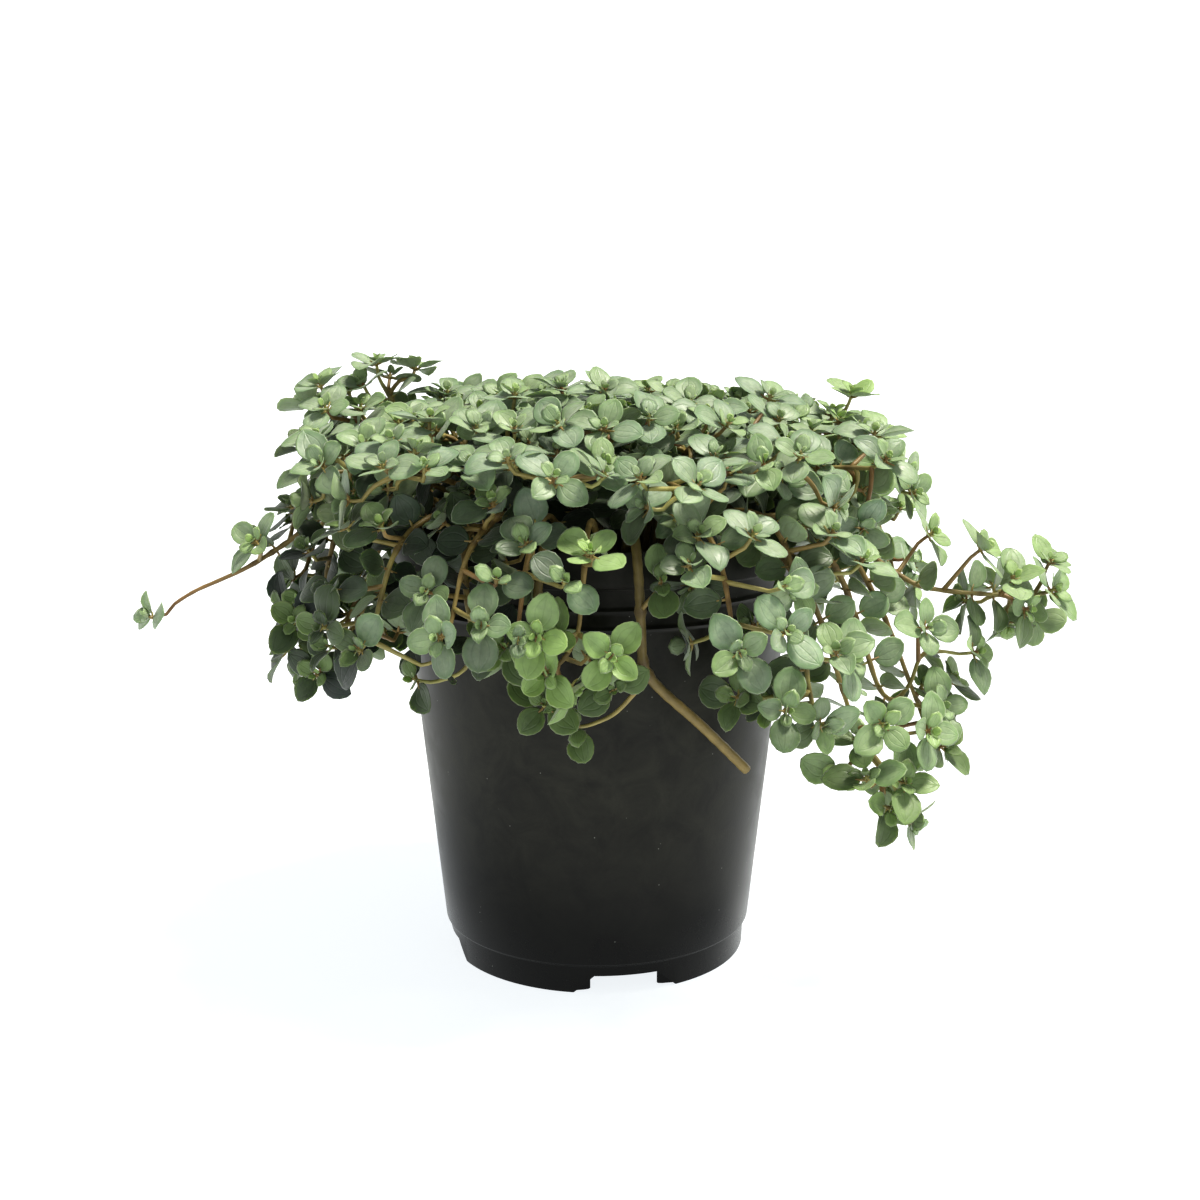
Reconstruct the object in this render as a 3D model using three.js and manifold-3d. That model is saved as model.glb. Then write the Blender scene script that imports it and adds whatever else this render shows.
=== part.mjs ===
// A small-leaved trailing pilea in its nursery pot: the pot, the potting mix and the leafy shoots.
// Millimetres, +Z up. The origin is on the pot's axis, on the surface that the foot ring stands on.
// -Y is the front.
import * as THREE from "three";
import { mergeVertices } from "three/addons/utils/BufferGeometryUtils.js";
import Module from "manifold-3d";

const wasm = await Module();
wasm.setup();

// The pot: radii are of the outside unless they say otherwise.
const pot = {
  height: 112,
  rimRadius: 53,
  collarRadius: 52.3,
  collarBottom: 103.6,
  collarStep: 0.6,
  wallTop: { z: 98, radius: 49.6 },
  wallBottom: { z: 7.7, radius: 40.05 },
  footRadius: 38.7,
  footTopRadius: 38.95,
  ledge: 0.5,
  footWidth: 2.6,
  wall: 1.2,
  floorBottom: 4,
  floorTop: 5.4,
  floorRound: 0.6,
  beadCentres: [93.4, 97.9],
  beadHalfHeight: 0.8,
  beadDepth: 0.8,
  sides: 32,
};
const notch = { count: 4, firstAngle: -79, bottomWidth: 26, topWidth: 16, height: 4.6 };
const drain = { count: 4, firstAngle: -34, radius: 4.5, circle: 22, sides: 8 };

// The potting mix, which fills the pot up to a few millimetres under the collar.
const mix = { top: 100, gap: 0.5, sides: 24 };

// Stems. A stem stands straight in its hole and leaves it at mouth height.
const stem = {
  baseRadius: 1.1,
  tipRadius: 0.6,
  branchRadius: 0.65,
  sides: 3,
  longBranch: 14,
  longestStep: 25,
  sharpestTurn: 35,
  holeBottom: 92.5,
  foot: 93,
  mouth: 102.5,
  holeClearance: 0.9,
};

// A knot is a short four-sided stretch of stem. Leaves and branches grow out of its four faces.
const knot = { radius: 0.95, half: 0.6, rise: 2.5, bud: 0.9, apart: 3 };

// The axis of a cross of leaves: shares of the stem's direction and of chance, and its least lean forward.
const crossLean = { along: 0.1, chance: 0.5, leastForward: 0.3 };

// Leaves, in pairs set crosswise. The blade is as thick as named at its middle and thins to its edge.
const leafForm = { thickness: 1.1, cup: 0.35, widthShare: 0.94, liftSpread: 16 };
const lowerPair = { blade: 7.6, spread: 0.8, petiole: 1.5, lift: 8 };
const upperPair = { blade: 6, spread: 0.6, petiole: 1.1, lift: 22 };

// The outline of a blade, right of its middle, as shares of its length and width; the left side mirrors it.
const outline = { shoulder: [0.3, 0.43], cheek: [0.76, 0.43], crest: 0.4 };

// Side branches that are placed by rule. A try is a hand, a lift and a share of the length.
const sideBranch = {
  first: 6,
  second: 14,
  backSpread: 2,
  length: 9,
  lengthSpread: 2,
  forward: 0.35,
  sideways: 0.85,
  tries: [[1, 0.2, 1], [-1, 0.2, 1], [1, 0.7, 0.85], [-1, 0.7, 0.85]],
};

// Room that is kept between leaves and stems while they are placed.
const clearance = {
  sideways: 0.45,
  edge: 0.95,
  middle: 1.3,
  stem: 0.65,
  rod: 0.8,
  ownStem: 3.6,
  aboveMix: 2,
  insideCollar: 2.3,
  besideRim: 1,
};
const rimSteps = 8;
const rodStep = 1.5;

// Where a stem by rule would meet another, its azimuth is turned by the first of these that clears it.
const turnsTried = [0, 3, -3, 6, -6, 9, -9, 12, -12, 15, -15];
const crossTurns = [0, 0.4, 0.8, 1.2, 0.2, 0.6];
// A direction serves to lay out a stem's sides only where at least this share of it lies across the stem.
const leastAcross = 0.35;
// A growth belongs to the side of a knot whose outward direction it shares by at least this cosine.
const sameWay = 0.8;

// The first seed of each kind of shoot, and how far chance moves the tips of the rings.
const seeds = { trailing: 100, skirt: 200, ringPlace: 300, ringLeaves: 400 };
const scatter = { azimuth: 6, reach: 4, height: 4 };

// The mound: the flat-topped dome that the crown's tips reach. A fullness of 2 would make it an ellipsoid.
// Leaves turn their faces out of it, but lean out only by the given share, and look for the light that comes from
// above and from the front.
const mound = {
  base: 95,
  halfWidth: 92,
  halfDepth: 87,
  rise: 47,
  fullness: 2.6,
  lean: 0.55,
  toFront: 0.33,
  leastUp: 0.38,
};

// Rings of shoots. The arc gives points from root to tip: the share of the way out, and the height.
const rings = [
  { name: "crown_shoot", first: 7, count: 1, start: 60, root: 1, reach: 3, arc: [[0.5, 124]] },
  { name: "crown_shoot", first: 1, count: 6, start: 25, root: 10, reach: 27, arc: [[0.25, 120]] },
  { name: "upper_shoot", first: 1, count: 11, start: 8, root: 20, reach: 50, arc: [[0.14, 118], [0.6, 133]] },
  {
    name: "shoulder_shoot",
    first: 1,
    count: 14,
    start: 3,
    root: 30,
    reach: 72,
    arc: [[0.12, 117], [0.56, 127]],
  },
];
const skirt = {
  name: "skirt_shoot",
  root: 38,
  arc: [[0.06, 113], [0.34, 120], [0.76, 114]],
  // azimuth in degrees, reach and height of each tip
  tips: [
    [18, 88, 88],
    [44, 85, 82],
    [70, 78, 88],
    [97, 76, 82],
    [123, 78, 88],
    [150, 75, 84],
    [173, 79, 94],
    [193, 73, 79],
    [231, 80, 92],
    [247, 81, 97],
    [258, 80, 98],
    [292, 80, 94],
    [307, 80, 76],
  ],
};

// Shoots that stand out of the mound. Each route runs from the mouth of its hole to its tip.
// back is the distance of a branch or pair from the tip; a branch runs to a point given as an offset.
const trailing = [
  {
    name: "trailing_left",
    root: [43.5, 188],
    route: [[-46, -7, 114], [-54, -8, 119.5], [-66, -8, 115.5], [-78.5, -8, 107], [-89.7, -10, 100.3],
      [-97.7, -11, 97], [-105, -12, 93.2], [-109.3, -12, 88.4]],
    tipLeaves: 3,
    pairs: [34, 42, 52],
    branches: [{ back: 29, offset: [3, -9, 5], leaves: 4 }, { back: 38, offset: [0, 9, 5], leaves: 4 }],
  },
  {
    name: "trailing_right_high",
    root: [43.5, 6],
    route: [[46, 4.5, 116], [51.5, 5, 128], [58, 5, 135.5], [64.7, 5, 140.5]],
    tipLeaves: 4,
    pairs: [4],
    branches: [{ back: 15, offset: [7, -7, 4], leaves: 4 }],
  },
  {
    name: "trailing_right_level",
    root: [43.5, -21],
    route: [[44, -18, 114], [51, -20, 117.2], [62, -21.5, 110], [74.9, -24, 100.8], [85.7, -25, 98],
      [100.3, -25, 97.1], [108, -25, 97]],
    tipLeaves: 4,
    pairs: [6, 17],
    branches: [{ back: 24, offset: [6, -3, 9], leaves: 4 }, { back: 36, offset: [7, 8, 7], leaves: 4 }],
  },
  {
    name: "trailing_right_arc",
    root: [43.5, -40],
    route: [[37, -31, 114], [44, -35.5, 117.5], [56, -36.5, 106], [63, -35, 89], [67.5, -34, 76.5],
      [71.5, -33.5, 73], [75.3, -33, 77], [77.9, -33, 84], [83.4, -33, 84.8], [88, -33, 84]],
    tipLeaves: 4,
    pairs: [9, 26, 44],
    branches: [{ back: 12, offset: [-1, -3, 8], leaves: 4 }, { back: 24, offset: [9, -5, -1], leaves: 4 }],
  },
  {
    name: "trailing_right_outer",
    root: [43.5, -29],
    route: [[42, -24, 114.5], [48.5, -28, 118.5], [60, -29.5, 109], [70, -28.5, 91], [77.5, -27, 73],
      [82.5, -25.5, 62]],
    tipLeaves: 4,
    pairs: [18, 34],
    branches: [{ back: 8, offset: [2, -8, -8], leaves: 4 }, { back: 12, offset: [8, 7, 0], leaves: 4 }],
  },
  {
    name: "trailing_right_low",
    root: [43.5, -56],
    route: [[26, -41, 114], [32, -48.5, 117.5], [43, -52.5, 109], [51, -50.5, 96], [57, -46.5, 79],
      [61.5, -45.5, 67], [65.5, -47.5, 61], [70, -51, 57]],
    tipLeaves: 4,
    pairs: [22, 58],
    branches: [
      { back: 12, offset: [-6, -3, -6], leaves: 1 },
      { back: 5, offset: [-1, -4, -7], leaves: 4 },
      { back: 14, offset: [13, -4, 3], leaves: 4 },
      { back: 17, offset: [4, -8, 3], leaves: 4 },
    ],
  },
  {
    name: "trailing_front_knot",
    root: [43.5, -82],
    thick: 1.15,
    route: [[7, -47.5, 114], [8, -55, 117.5], [8.9, -60.5, 113], [9.6, -61.5, 102.8], [10.4, -60, 90],
      [12, -58.8, 84.5], [21.1, -57, 75.6], [28, -54.7, 68.4], [34.7, -52, 61.1]],
    tipLeaves: 0,
    pairs: [],
    branches: [
      { back: 34, offset: [-15, 0.5, -12], leaves: 2, via: [-7.5, 1.5, -9] },
      { back: 38, offset: [-6, -3.5, -6], leaves: 2 },
      { back: 50, offset: [4, -6, 6], leaves: 2 },
    ],
  },
  {
    name: "trailing_front_cut",
    root: [43.5, -98],
    route: [[-7, -47.5, 114], [-10, -55, 117.2], [-12.5, -61, 110], [-12.6, -62, 98], [-10.6, -60, 86],
      [-7.7, -58, 77], [-4.4, -56, 70]],
    tipLeaves: 0,
    pairs: [],
    branches: [{ back: 9, offset: [-3, -4, 0.5], leaves: 4 }, { back: 22, offset: [-8, -5, 3], leaves: 4 }],
  },
  {
    name: "trailing_front_cluster",
    root: [43.5, -90],
    route: [[0, -48, 114.5], [-1, -56, 119.5], [-2, -66, 117.5], [-3, -71, 106], [-4.5, -72.5, 96],
      [-9.5, -73.5, 89.5]],
    tipLeaves: 4,
    pairs: [30],
    branches: [
      { back: 6, offset: [-6, -5, 4], leaves: 4 },
      { back: 10, offset: [7, -2.5, -4], leaves: 4 },
      { back: 25, offset: [2, -6, 1], leaves: 4 },
    ],
  },
  {
    name: "trailing_front_left",
    root: [43.5, -121],
    route: [[-24.5, -42, 114], [-27, -48.5, 118], [-29, -56.5, 114], [-28.6, -59, 102], [-27.4, -58, 92.5],
      [-29.2, -57, 86.5], [-34, -56, 83.7], [-39, -55, 82.4]],
    tipLeaves: 2,
    pairs: [19, 24],
    branches: [{ back: 14, offset: [6, -5, 4], leaves: 4 }, { back: 28, offset: [-7, -6, 2], leaves: 4 }],
  },
  {
    name: "trailing_left_low",
    root: [43.5, 216],
    route: [[-38.5, -28, 114.5], [-46, -32.5, 118], [-52.5, -35, 107], [-55.5, -34, 95], [-60, -31, 89],
      [-67, -28.5, 87.3], [-73, -27.5, 83]],
    tipLeaves: 4,
    pairs: [15, 34],
    branches: [
      { back: 6, offset: [3, -6, -7], leaves: 4 },
      { back: 12, offset: [-6, 4, 7], leaves: 4 },
      { back: 22, offset: [-4, -7, -7], leaves: 4 },
    ],
  },
  {
    name: "tall_shoot_left",
    root: [36, 165],
    route: [[-38, 9.5, 117], [-46, 10.5, 132], [-52, 11, 140], [-57, 11, 148.5]],
    tipLeaves: 4,
    pairs: [7],
    branches: [{ back: 12, offset: [-8, -5, 5], leaves: 4 }, { back: 18, offset: [8, 4, 7], leaves: 4 }],
  },
  {
    name: "tall_shoot_far_left",
    root: [36, 183],
    route: [[-41, -1, 117], [-52, -1, 131], [-61.5, 0, 138.5], [-69, 0, 143.5]],
    tipLeaves: 4,
    pairs: [7],
    branches: [{ back: 12, offset: [-7, -8, 2], leaves: 4 }, { back: 15, offset: [-7, 12, 6], leaves: 4 }],
  },
];

const colours = { pot: 0x1f2120, mix: 0x3a2c20, foliage: 0x84a07c };

const degrees = Math.PI / 180;

// A repeatable stream of numbers from 0 to 1.
function seeded(seed) {
  let state = seed >>> 0;
  return () => {
    state = (state + 0x6d2b79f5) >>> 0;
    let t = state;
    t = Math.imul(t ^ (t >>> 15), t | 1);
    t ^= t + Math.imul(t ^ (t >>> 7), t | 61);
    return ((t ^ (t >>> 14)) >>> 0) / 4294967296;
  };
}

function around(radius, azimuth, z) {
  return new THREE.Vector3(radius * Math.cos(azimuth * degrees), radius * Math.sin(azimuth * degrees), z);
}

// From here on solids are made, joined and cut.

function solidFrom(geometry) {
  const bare = geometry.clone();
  bare.deleteAttribute("normal");
  bare.deleteAttribute("uv");
  const merged = mergeVertices(bare, 1e-4);
  return new wasm.Manifold(
    new wasm.Mesh({
      numProp: 3,
      vertProperties: merged.attributes.position.array,
      triVerts: new Uint32Array(merged.index.array),
    }),
  );
}

function geometryFrom(solid) {
  const mesh = solid.getMesh();
  return new THREE.BufferGeometry()
    .setAttribute("position", new THREE.BufferAttribute(mesh.vertProperties, 3))
    .setIndex(new THREE.BufferAttribute(mesh.triVerts, 1));
}

function indexedGeometry(points, triangles) {
  return new THREE.BufferGeometry().setFromPoints(points).setIndex(triangles);
}

function wallRadius(z) {
  const { wallTop, wallBottom } = pot;
  const slope = (wallTop.radius - wallBottom.radius) / (wallTop.z - wallBottom.z);
  return wallBottom.radius + (z - wallBottom.z) * slope;
}

// Turned round Z from a profile of [radius, height] pairs.
function turned(profile, sides) {
  const points = profile.map(([radius, z]) => new THREE.Vector2(radius, z));
  return solidFrom(new THREE.LatheGeometry(points, sides).rotateX(Math.PI / 2));
}

// The drainage notches are trapezoids cut through the foot ring.
function notchCutter(angle) {
  const trapezoid = new THREE.Shape([
    new THREE.Vector2(-notch.bottomWidth / 2, -1),
    new THREE.Vector2(notch.bottomWidth / 2, -1),
    new THREE.Vector2(notch.bottomWidth / 2, 0),
    new THREE.Vector2(notch.topWidth / 2, notch.height),
    new THREE.Vector2(-notch.topWidth / 2, notch.height),
    new THREE.Vector2(-notch.bottomWidth / 2, 0),
  ]);
  const reach = pot.footRadius + 2;
  const inside = pot.footRadius - pot.footWidth - 1;
  return solidFrom(
    new THREE.ExtrudeGeometry(trapezoid, { depth: reach - inside, bevelEnabled: false, steps: 1 })
      .translate(0, 0, inside)
      .rotateX(Math.PI / 2)
      .rotateZ(Math.PI)
      .rotateZ((angle - 90) * degrees),
  );
}

function drainCutter(angle) {
  const centre = around(drain.circle, angle, pot.floorBottom);
  return solidFrom(
    new THREE.CylinderGeometry(drain.radius, drain.radius, 6, drain.sides)
      .rotateX(Math.PI / 2)
      .translate(centre.x, centre.y, centre.z),
  );
}

function makePot() {
  const beads = pot.beadCentres.flatMap((z) => [
    [wallRadius(z - pot.beadHalfHeight), z - pot.beadHalfHeight],
    [wallRadius(z) + pot.beadDepth, z],
    [wallRadius(z + pot.beadHalfHeight), z + pot.beadHalfHeight],
  ]);
  const collarInside = pot.collarBottom + pot.wall;
  const wallEnd = pot.collarBottom - pot.collarStep;
  let solid = turned(
    [
      [0, pot.floorBottom],
      [pot.footRadius - pot.footWidth, pot.floorBottom],
      [pot.footRadius - pot.footWidth, 0],
      [pot.footRadius, 0],
      [pot.footTopRadius, pot.wallBottom.z - pot.ledge],
      [pot.wallBottom.radius, pot.wallBottom.z],
      ...beads,
      [wallRadius(wallEnd), wallEnd],
      [pot.collarRadius, pot.collarBottom],
      [pot.rimRadius, pot.height],
      [pot.rimRadius - pot.wall, pot.height],
      [pot.collarRadius - pot.wall, collarInside],
      [wallRadius(wallEnd) - pot.wall, wallEnd + pot.wall / 2],
      [wallRadius(pot.floorTop) - pot.wall, pot.floorTop + pot.floorRound],
      [0, pot.floorTop],
    ],
    pot.sides,
  );
  for (let i = 0; i < notch.count; i++) {
    solid = solid.subtract(notchCutter(notch.firstAngle + (360 / notch.count) * i));
  }
  for (let i = 0; i < drain.count; i++) {
    solid = solid.subtract(drainCutter(drain.firstAngle + (360 / drain.count) * i));
  }
  return solid;
}

// A plain three-sided hole round each stem.
function holeCutter(shoot) {
  const radius = shoot.thick + stem.holeClearance;
  const depth = stem.mouth - stem.holeBottom;
  return solidFrom(
    new THREE.CylinderGeometry(radius, radius, depth, stem.sides)
      .rotateX(Math.PI / 2)
      .rotateZ((shoot.azimuth + 90) * degrees)
      .translate(shoot.root.x, shoot.root.y, (stem.mouth + stem.holeBottom) / 2),
  );
}

function makeMix(shoots) {
  const bottom = pot.floorTop + pot.floorRound + mix.gap;
  const side = (z) => wallRadius(z) - pot.wall - mix.gap;
  let solid = turned(
    [
      [0, bottom],
      [side(bottom), bottom],
      [side(mix.top), mix.top],
      [0, mix.top],
    ],
    mix.sides,
  );
  for (const shoot of shoots) {
    solid = solid.subtract(holeCutter(shoot));
  }
  return solid;
}

// From here on the shoots are planned: where each stem, branch and leaf goes.

// The way that a leaf at a point of the mound faces, never less than a little upward.
function facing(point) {
  const normal = new THREE.Vector3(
    point.x / mound.halfWidth ** 2,
    point.y / mound.halfDepth ** 2,
    (point.z - mound.base) / mound.rise ** 2,
  ).normalize();
  normal.x *= mound.lean;
  normal.y = normal.y * mound.lean - mound.toFront;
  normal.z = Math.max(normal.z, mound.leastUp);
  return normal.normalize();
}

function moundHeight(x, y) {
  const out = Math.abs(x / mound.halfWidth) ** mound.fullness + Math.abs(y / mound.halfDepth) ** mound.fullness;
  return mound.base + mound.rise * Math.max(1 - out, 0) ** (1 / mound.fullness);
}

// A smooth line through the points, cut fine, with the distance run at each cut.
function smoothLine(points, cuts = 60) {
  const line = new THREE.CatmullRomCurve3(points, false, "catmullrom", 0.5).getPoints(cuts);
  const run = [0];
  for (let i = 1; i < line.length; i++) {
    run.push(run[i - 1] + line[i].distanceTo(line[i - 1]));
  }
  return { line, run, length: run[run.length - 1] };
}

// The point at a distance along a smooth line, and the direction there.
function pointAt(curve, distance) {
  const at = Math.min(Math.max(distance, 0), curve.length);
  let i = 1;
  while (i < curve.run.length - 1 && curve.run[i] < at) {
    i++;
  }
  const a = curve.line[i - 1];
  const b = curve.line[i];
  const share = (at - curve.run[i - 1]) / (curve.run[i] - curve.run[i - 1]);
  return { point: a.clone().lerp(b, share), along: b.clone().sub(a).normalize() };
}

// Two crosswise directions at right angles to a stem, the first turned to the face where it can be.
function crosswise(along, face, fallback) {
  let first = face.clone().addScaledVector(along, -face.dot(along));
  if (first.length() < leastAcross) {
    first = fallback.clone().addScaledVector(along, -fallback.dot(along));
  }
  first.normalize();
  return [first, along.clone().cross(first)];
}

// Everything placed so far: a disc for each leaf, and points along each stem.
const discs = [];
const rods = [];
let crosses = 0;

// The points round a leaf that stands for its outline.
function rimPoints(leaf) {
  const across = leaf.face.clone().cross(leaf.along);
  return Array.from({ length: rimSteps }, (_, k) => {
    const angle = (2 * Math.PI * k) / rimSteps;
    return leaf.centre
      .clone()
      .addScaledVector(leaf.along, leaf.reach * Math.cos(angle))
      .addScaledVector(across, leaf.reach * Math.sin(angle));
  });
}

// Whether the outline of one leaf meets the blade of another.
function cutsInto(rim, centre, other) {
  const heights = rim.map((p) => p.clone().sub(other.centre).dot(other.face));
  const outs = rim.map((p, i) => {
    return Math.sqrt(Math.max(p.distanceToSquared(other.centre) - heights[i] ** 2, 0));
  });
  const reach = other.reach + clearance.sideways;
  for (let i = 0; i < rim.length; i++) {
    const next = (i + 1) % rim.length;
    if (Math.abs(heights[i]) < clearance.edge && outs[i] < reach) {
      return true;
    }
    if (heights[i] * heights[next] < 0) {
      const share = heights[i] / (heights[i] - heights[next]);
      if (rim[i].clone().lerp(rim[next], share).distanceTo(other.centre) < reach) {
        return true;
      }
    }
  }
  const height = centre.clone().sub(other.centre).dot(other.face);
  return Math.abs(height) < clearance.middle && centre.distanceTo(other.centre) < other.reach;
}

// Whether a point would be in or against the pot or the mix.
function inPot(point) {
  const out = Math.hypot(point.x, point.y);
  if (point.z < mix.top + clearance.aboveMix && out < pot.collarRadius - clearance.besideRim) {
    return true;
  }
  const lowest = pot.collarBottom - clearance.aboveMix;
  const atCollar = point.z > lowest && point.z < pot.height + clearance.besideRim;
  const innermost = pot.collarRadius - pot.wall - clearance.insideCollar;
  return atCollar && out > innermost && out < pot.rimRadius + clearance.besideRim;
}

function leafIsClear(leaf) {
  const rim = rimPoints(leaf);
  if (rim.some(inPot)) {
    return false;
  }
  for (const other of discs) {
    const near = leaf.reach + other.reach + 1;
    if (other.cross === leaf.cross || leaf.centre.distanceToSquared(other.centre) > near * near) {
      continue;
    }
    if (cutsInto(rim, leaf.centre, other) || cutsInto(rimPoints(other), other.centre, leaf)) {
      return false;
    }
  }
  return !rods.some((rod) => {
    if (rod.shoot === leaf.shoot && rod.point.distanceTo(leaf.knot) < clearance.ownStem) {
      return false;
    }
    const out = rod.point.clone().sub(leaf.centre);
    const height = Math.abs(out.dot(leaf.face));
    const reach = leaf.reach + rod.radius + clearance.sideways;
    return height < rod.radius + clearance.stem && out.length() < reach;
  });
}

function stemIsClear(points, radius, shoot) {
  return points.every((point) => {
    if (point.z > stem.mouth && inPot(point)) {
      return false;
    }
    return rods.every((rod) => {
      const apart = rod.radius + radius + clearance.rod;
      return rod.shoot === shoot || rod.point.distanceTo(point) > apart;
    });
  });
}

// Whether a branch keeps off the leaves that are there already.
function branchMissesLeaves(points, radius) {
  return points.every((point) =>
    discs.every((leaf) => {
      const out = point.clone().sub(leaf.centre);
      const height = Math.abs(out.dot(leaf.face));
      return height > radius + clearance.stem || out.length() > leaf.reach + radius + clearance.sideways;
    }),
  );
}

// Points at even steps along a curve, which stand for the stem in tests.
function alongStem(curve) {
  const count = Math.max(2, Math.ceil(curve.length / rodStep));
  return Array.from({ length: count + 1 }, (_, i) => pointAt(curve, (curve.length * i) / count).point);
}

function recordStem(points, radius, shoot) {
  for (const point of points) {
    rods.push({ point, radius, shoot });
  }
}

// A leaf grows out of a knot. It points outward and is lifted towards the axis.
function makeLeaf(draw, shoot, cross, centre, axis, outward, pair) {
  const blade = pair.blade + (2 * draw() - 1) * pair.spread;
  const lift = (pair.lift + leafForm.liftSpread * (draw() - 0.5)) * degrees;
  const along = outward.clone().multiplyScalar(Math.cos(lift)).addScaledVector(axis, Math.sin(lift));
  const face = axis.clone().multiplyScalar(Math.cos(lift)).addScaledVector(outward, -Math.sin(lift));
  return {
    shoot,
    cross,
    knot: centre,
    outward,
    along,
    face,
    blade,
    petiole: pair.petiole,
    width: blade * leafForm.widthShare,
    reach: blade / 2,
    centre: centre.clone().addScaledVector(along, pair.petiole + blade / 2),
  };
}

function turnedBy(frame, angle) {
  return frame[0].clone().multiplyScalar(Math.cos(angle)).addScaledVector(frame[1], Math.sin(angle));
}

// A cross of up to four leaves on a knot: the turn that keeps the most leaves is taken.
function placeCross(draw, shoot, centre, axis, wanted) {
  const cross = crosses++;
  const frame = crosswise(axis, around(1, shoot.azimuth, 0), new THREE.Vector3(0, 0, 1));
  const first = draw() * Math.PI;
  let best = [];
  for (const turn of crossTurns) {
    const leaves = [];
    for (let i = 0; i < wanted; i++) {
      const pair = i < 2 ? lowerPair : upperPair;
      const angle = first + turn + Math.PI * i + (i < 2 ? 0 : Math.PI / 2);
      const leaf = makeLeaf(draw, shoot, cross, centre, axis, turnedBy(frame, angle), pair);
      if (leafIsClear(leaf)) {
        leaves.push(leaf);
      }
    }
    if (leaves.length > best.length) {
      best = leaves;
    }
    if (best.length === wanted) {
      break;
    }
  }
  discs.push(...best);
  return best;
}

// The axis of a cross: mostly the way the mound faces, partly the way its stem grows, and a little chance.
function crossAxis(draw, point, along) {
  const chance = new THREE.Vector3(draw() - 0.5, draw() - 0.5, draw() - 0.5).multiplyScalar(crossLean.chance);
  const axis = facing(point).addScaledVector(along, crossLean.along).add(chance).normalize();
  const short = crossLean.leastForward - axis.dot(along);
  return axis.addScaledVector(along, Math.max(short, 0)).normalize();
}

// A branch runs through its points, then bends up into the knot of its cross.
function placeBranch(draw, shoot, from, points, wanted) {
  const curve = smoothLine(points, 12);
  const end = points[points.length - 1];
  const axis = crossAxis(draw, end, pointAt(curve, curve.length).along);
  const top = end.clone().addScaledVector(axis, knot.rise);
  const bud = top.clone().addScaledVector(axis, knot.half + knot.bud / 2);
  const line = [...alongStem(curve), top, bud];
  if (!stemIsClear(line, knot.radius, shoot) || !branchMissesLeaves(line.slice(2), knot.radius)) {
    return false;
  }
  const before = rods.length;
  recordStem(line, knot.radius, shoot);
  const leaves = placeCross(draw, shoot, top, axis, wanted);
  if (leaves.length === 0) {
    rods.length = before;
    return false;
  }
  shoot.branches.push({ curve, axis, top, from, leaves });
  return true;
}

// A branch by rule leaves the stem to one side and bends up to the light.
function placeSideBranch(draw, shoot, back, hand, wanted) {
  const { point, along } = pointAt(shoot.curve, shoot.curve.length - back);
  const [up, sideways] = crosswise(along, facing(point), around(1, shoot.azimuth, 0));
  const length = sideBranch.length + sideBranch.lengthSpread * draw();
  for (const [turn, lift, size] of sideBranch.tries) {
    const way = along.clone().multiplyScalar(sideBranch.forward);
    way.addScaledVector(sideways, sideBranch.sideways * hand * turn).addScaledVector(up, lift).normalize();
    const end = point.clone().addScaledVector(way, length * size);
    if (placeBranch(draw, shoot, back, [point, end], wanted)) {
      return;
    }
  }
}

// A pair of leaves on the stem itself.
function placePair(draw, shoot, back, turn) {
  const { point, along } = pointAt(shoot.curve, shoot.curve.length - back);
  const frame = crosswise(along, facing(point), around(1, shoot.azimuth, 0));
  const cross = crosses++;
  const leaves = [];
  for (let i = 0; i < 2; i++) {
    const outward = turnedBy(frame, turn + Math.PI * i);
    const axis = facing(point).addScaledVector(along, crossLean.along);
    axis.addScaledVector(outward, -axis.dot(outward)).normalize();
    const leaf = makeLeaf(draw, shoot, cross, point, axis, outward, lowerPair);
    if (leafIsClear(leaf)) {
      leaves.push(leaf);
    }
  }
  discs.push(...leaves);
  if (leaves.length > 0) {
    shoot.pairs.push({ back, leaves });
  }
}

// The route of a ring's or the skirt's shoot, turned a little where another stem is in the way.
function plannedRoute(azimuth, rootRadius, reach, tipHeight, arc) {
  const root = around(rootRadius, azimuth, stem.mouth);
  const tip = around(reach, azimuth, tipHeight);
  const way = arc.map(([share, z]) => root.clone().lerp(tip, share).setZ(z));
  return [root, ...way, tip];
}

function startShoot(name, azimuth, route, thick, seed) {
  return {
    name,
    azimuth,
    root: route[0].clone(),
    thick,
    curve: smoothLine(route),
    seed,
    branches: [],
    pairs: [],
    tipLeaves: [],
  };
}

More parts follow.
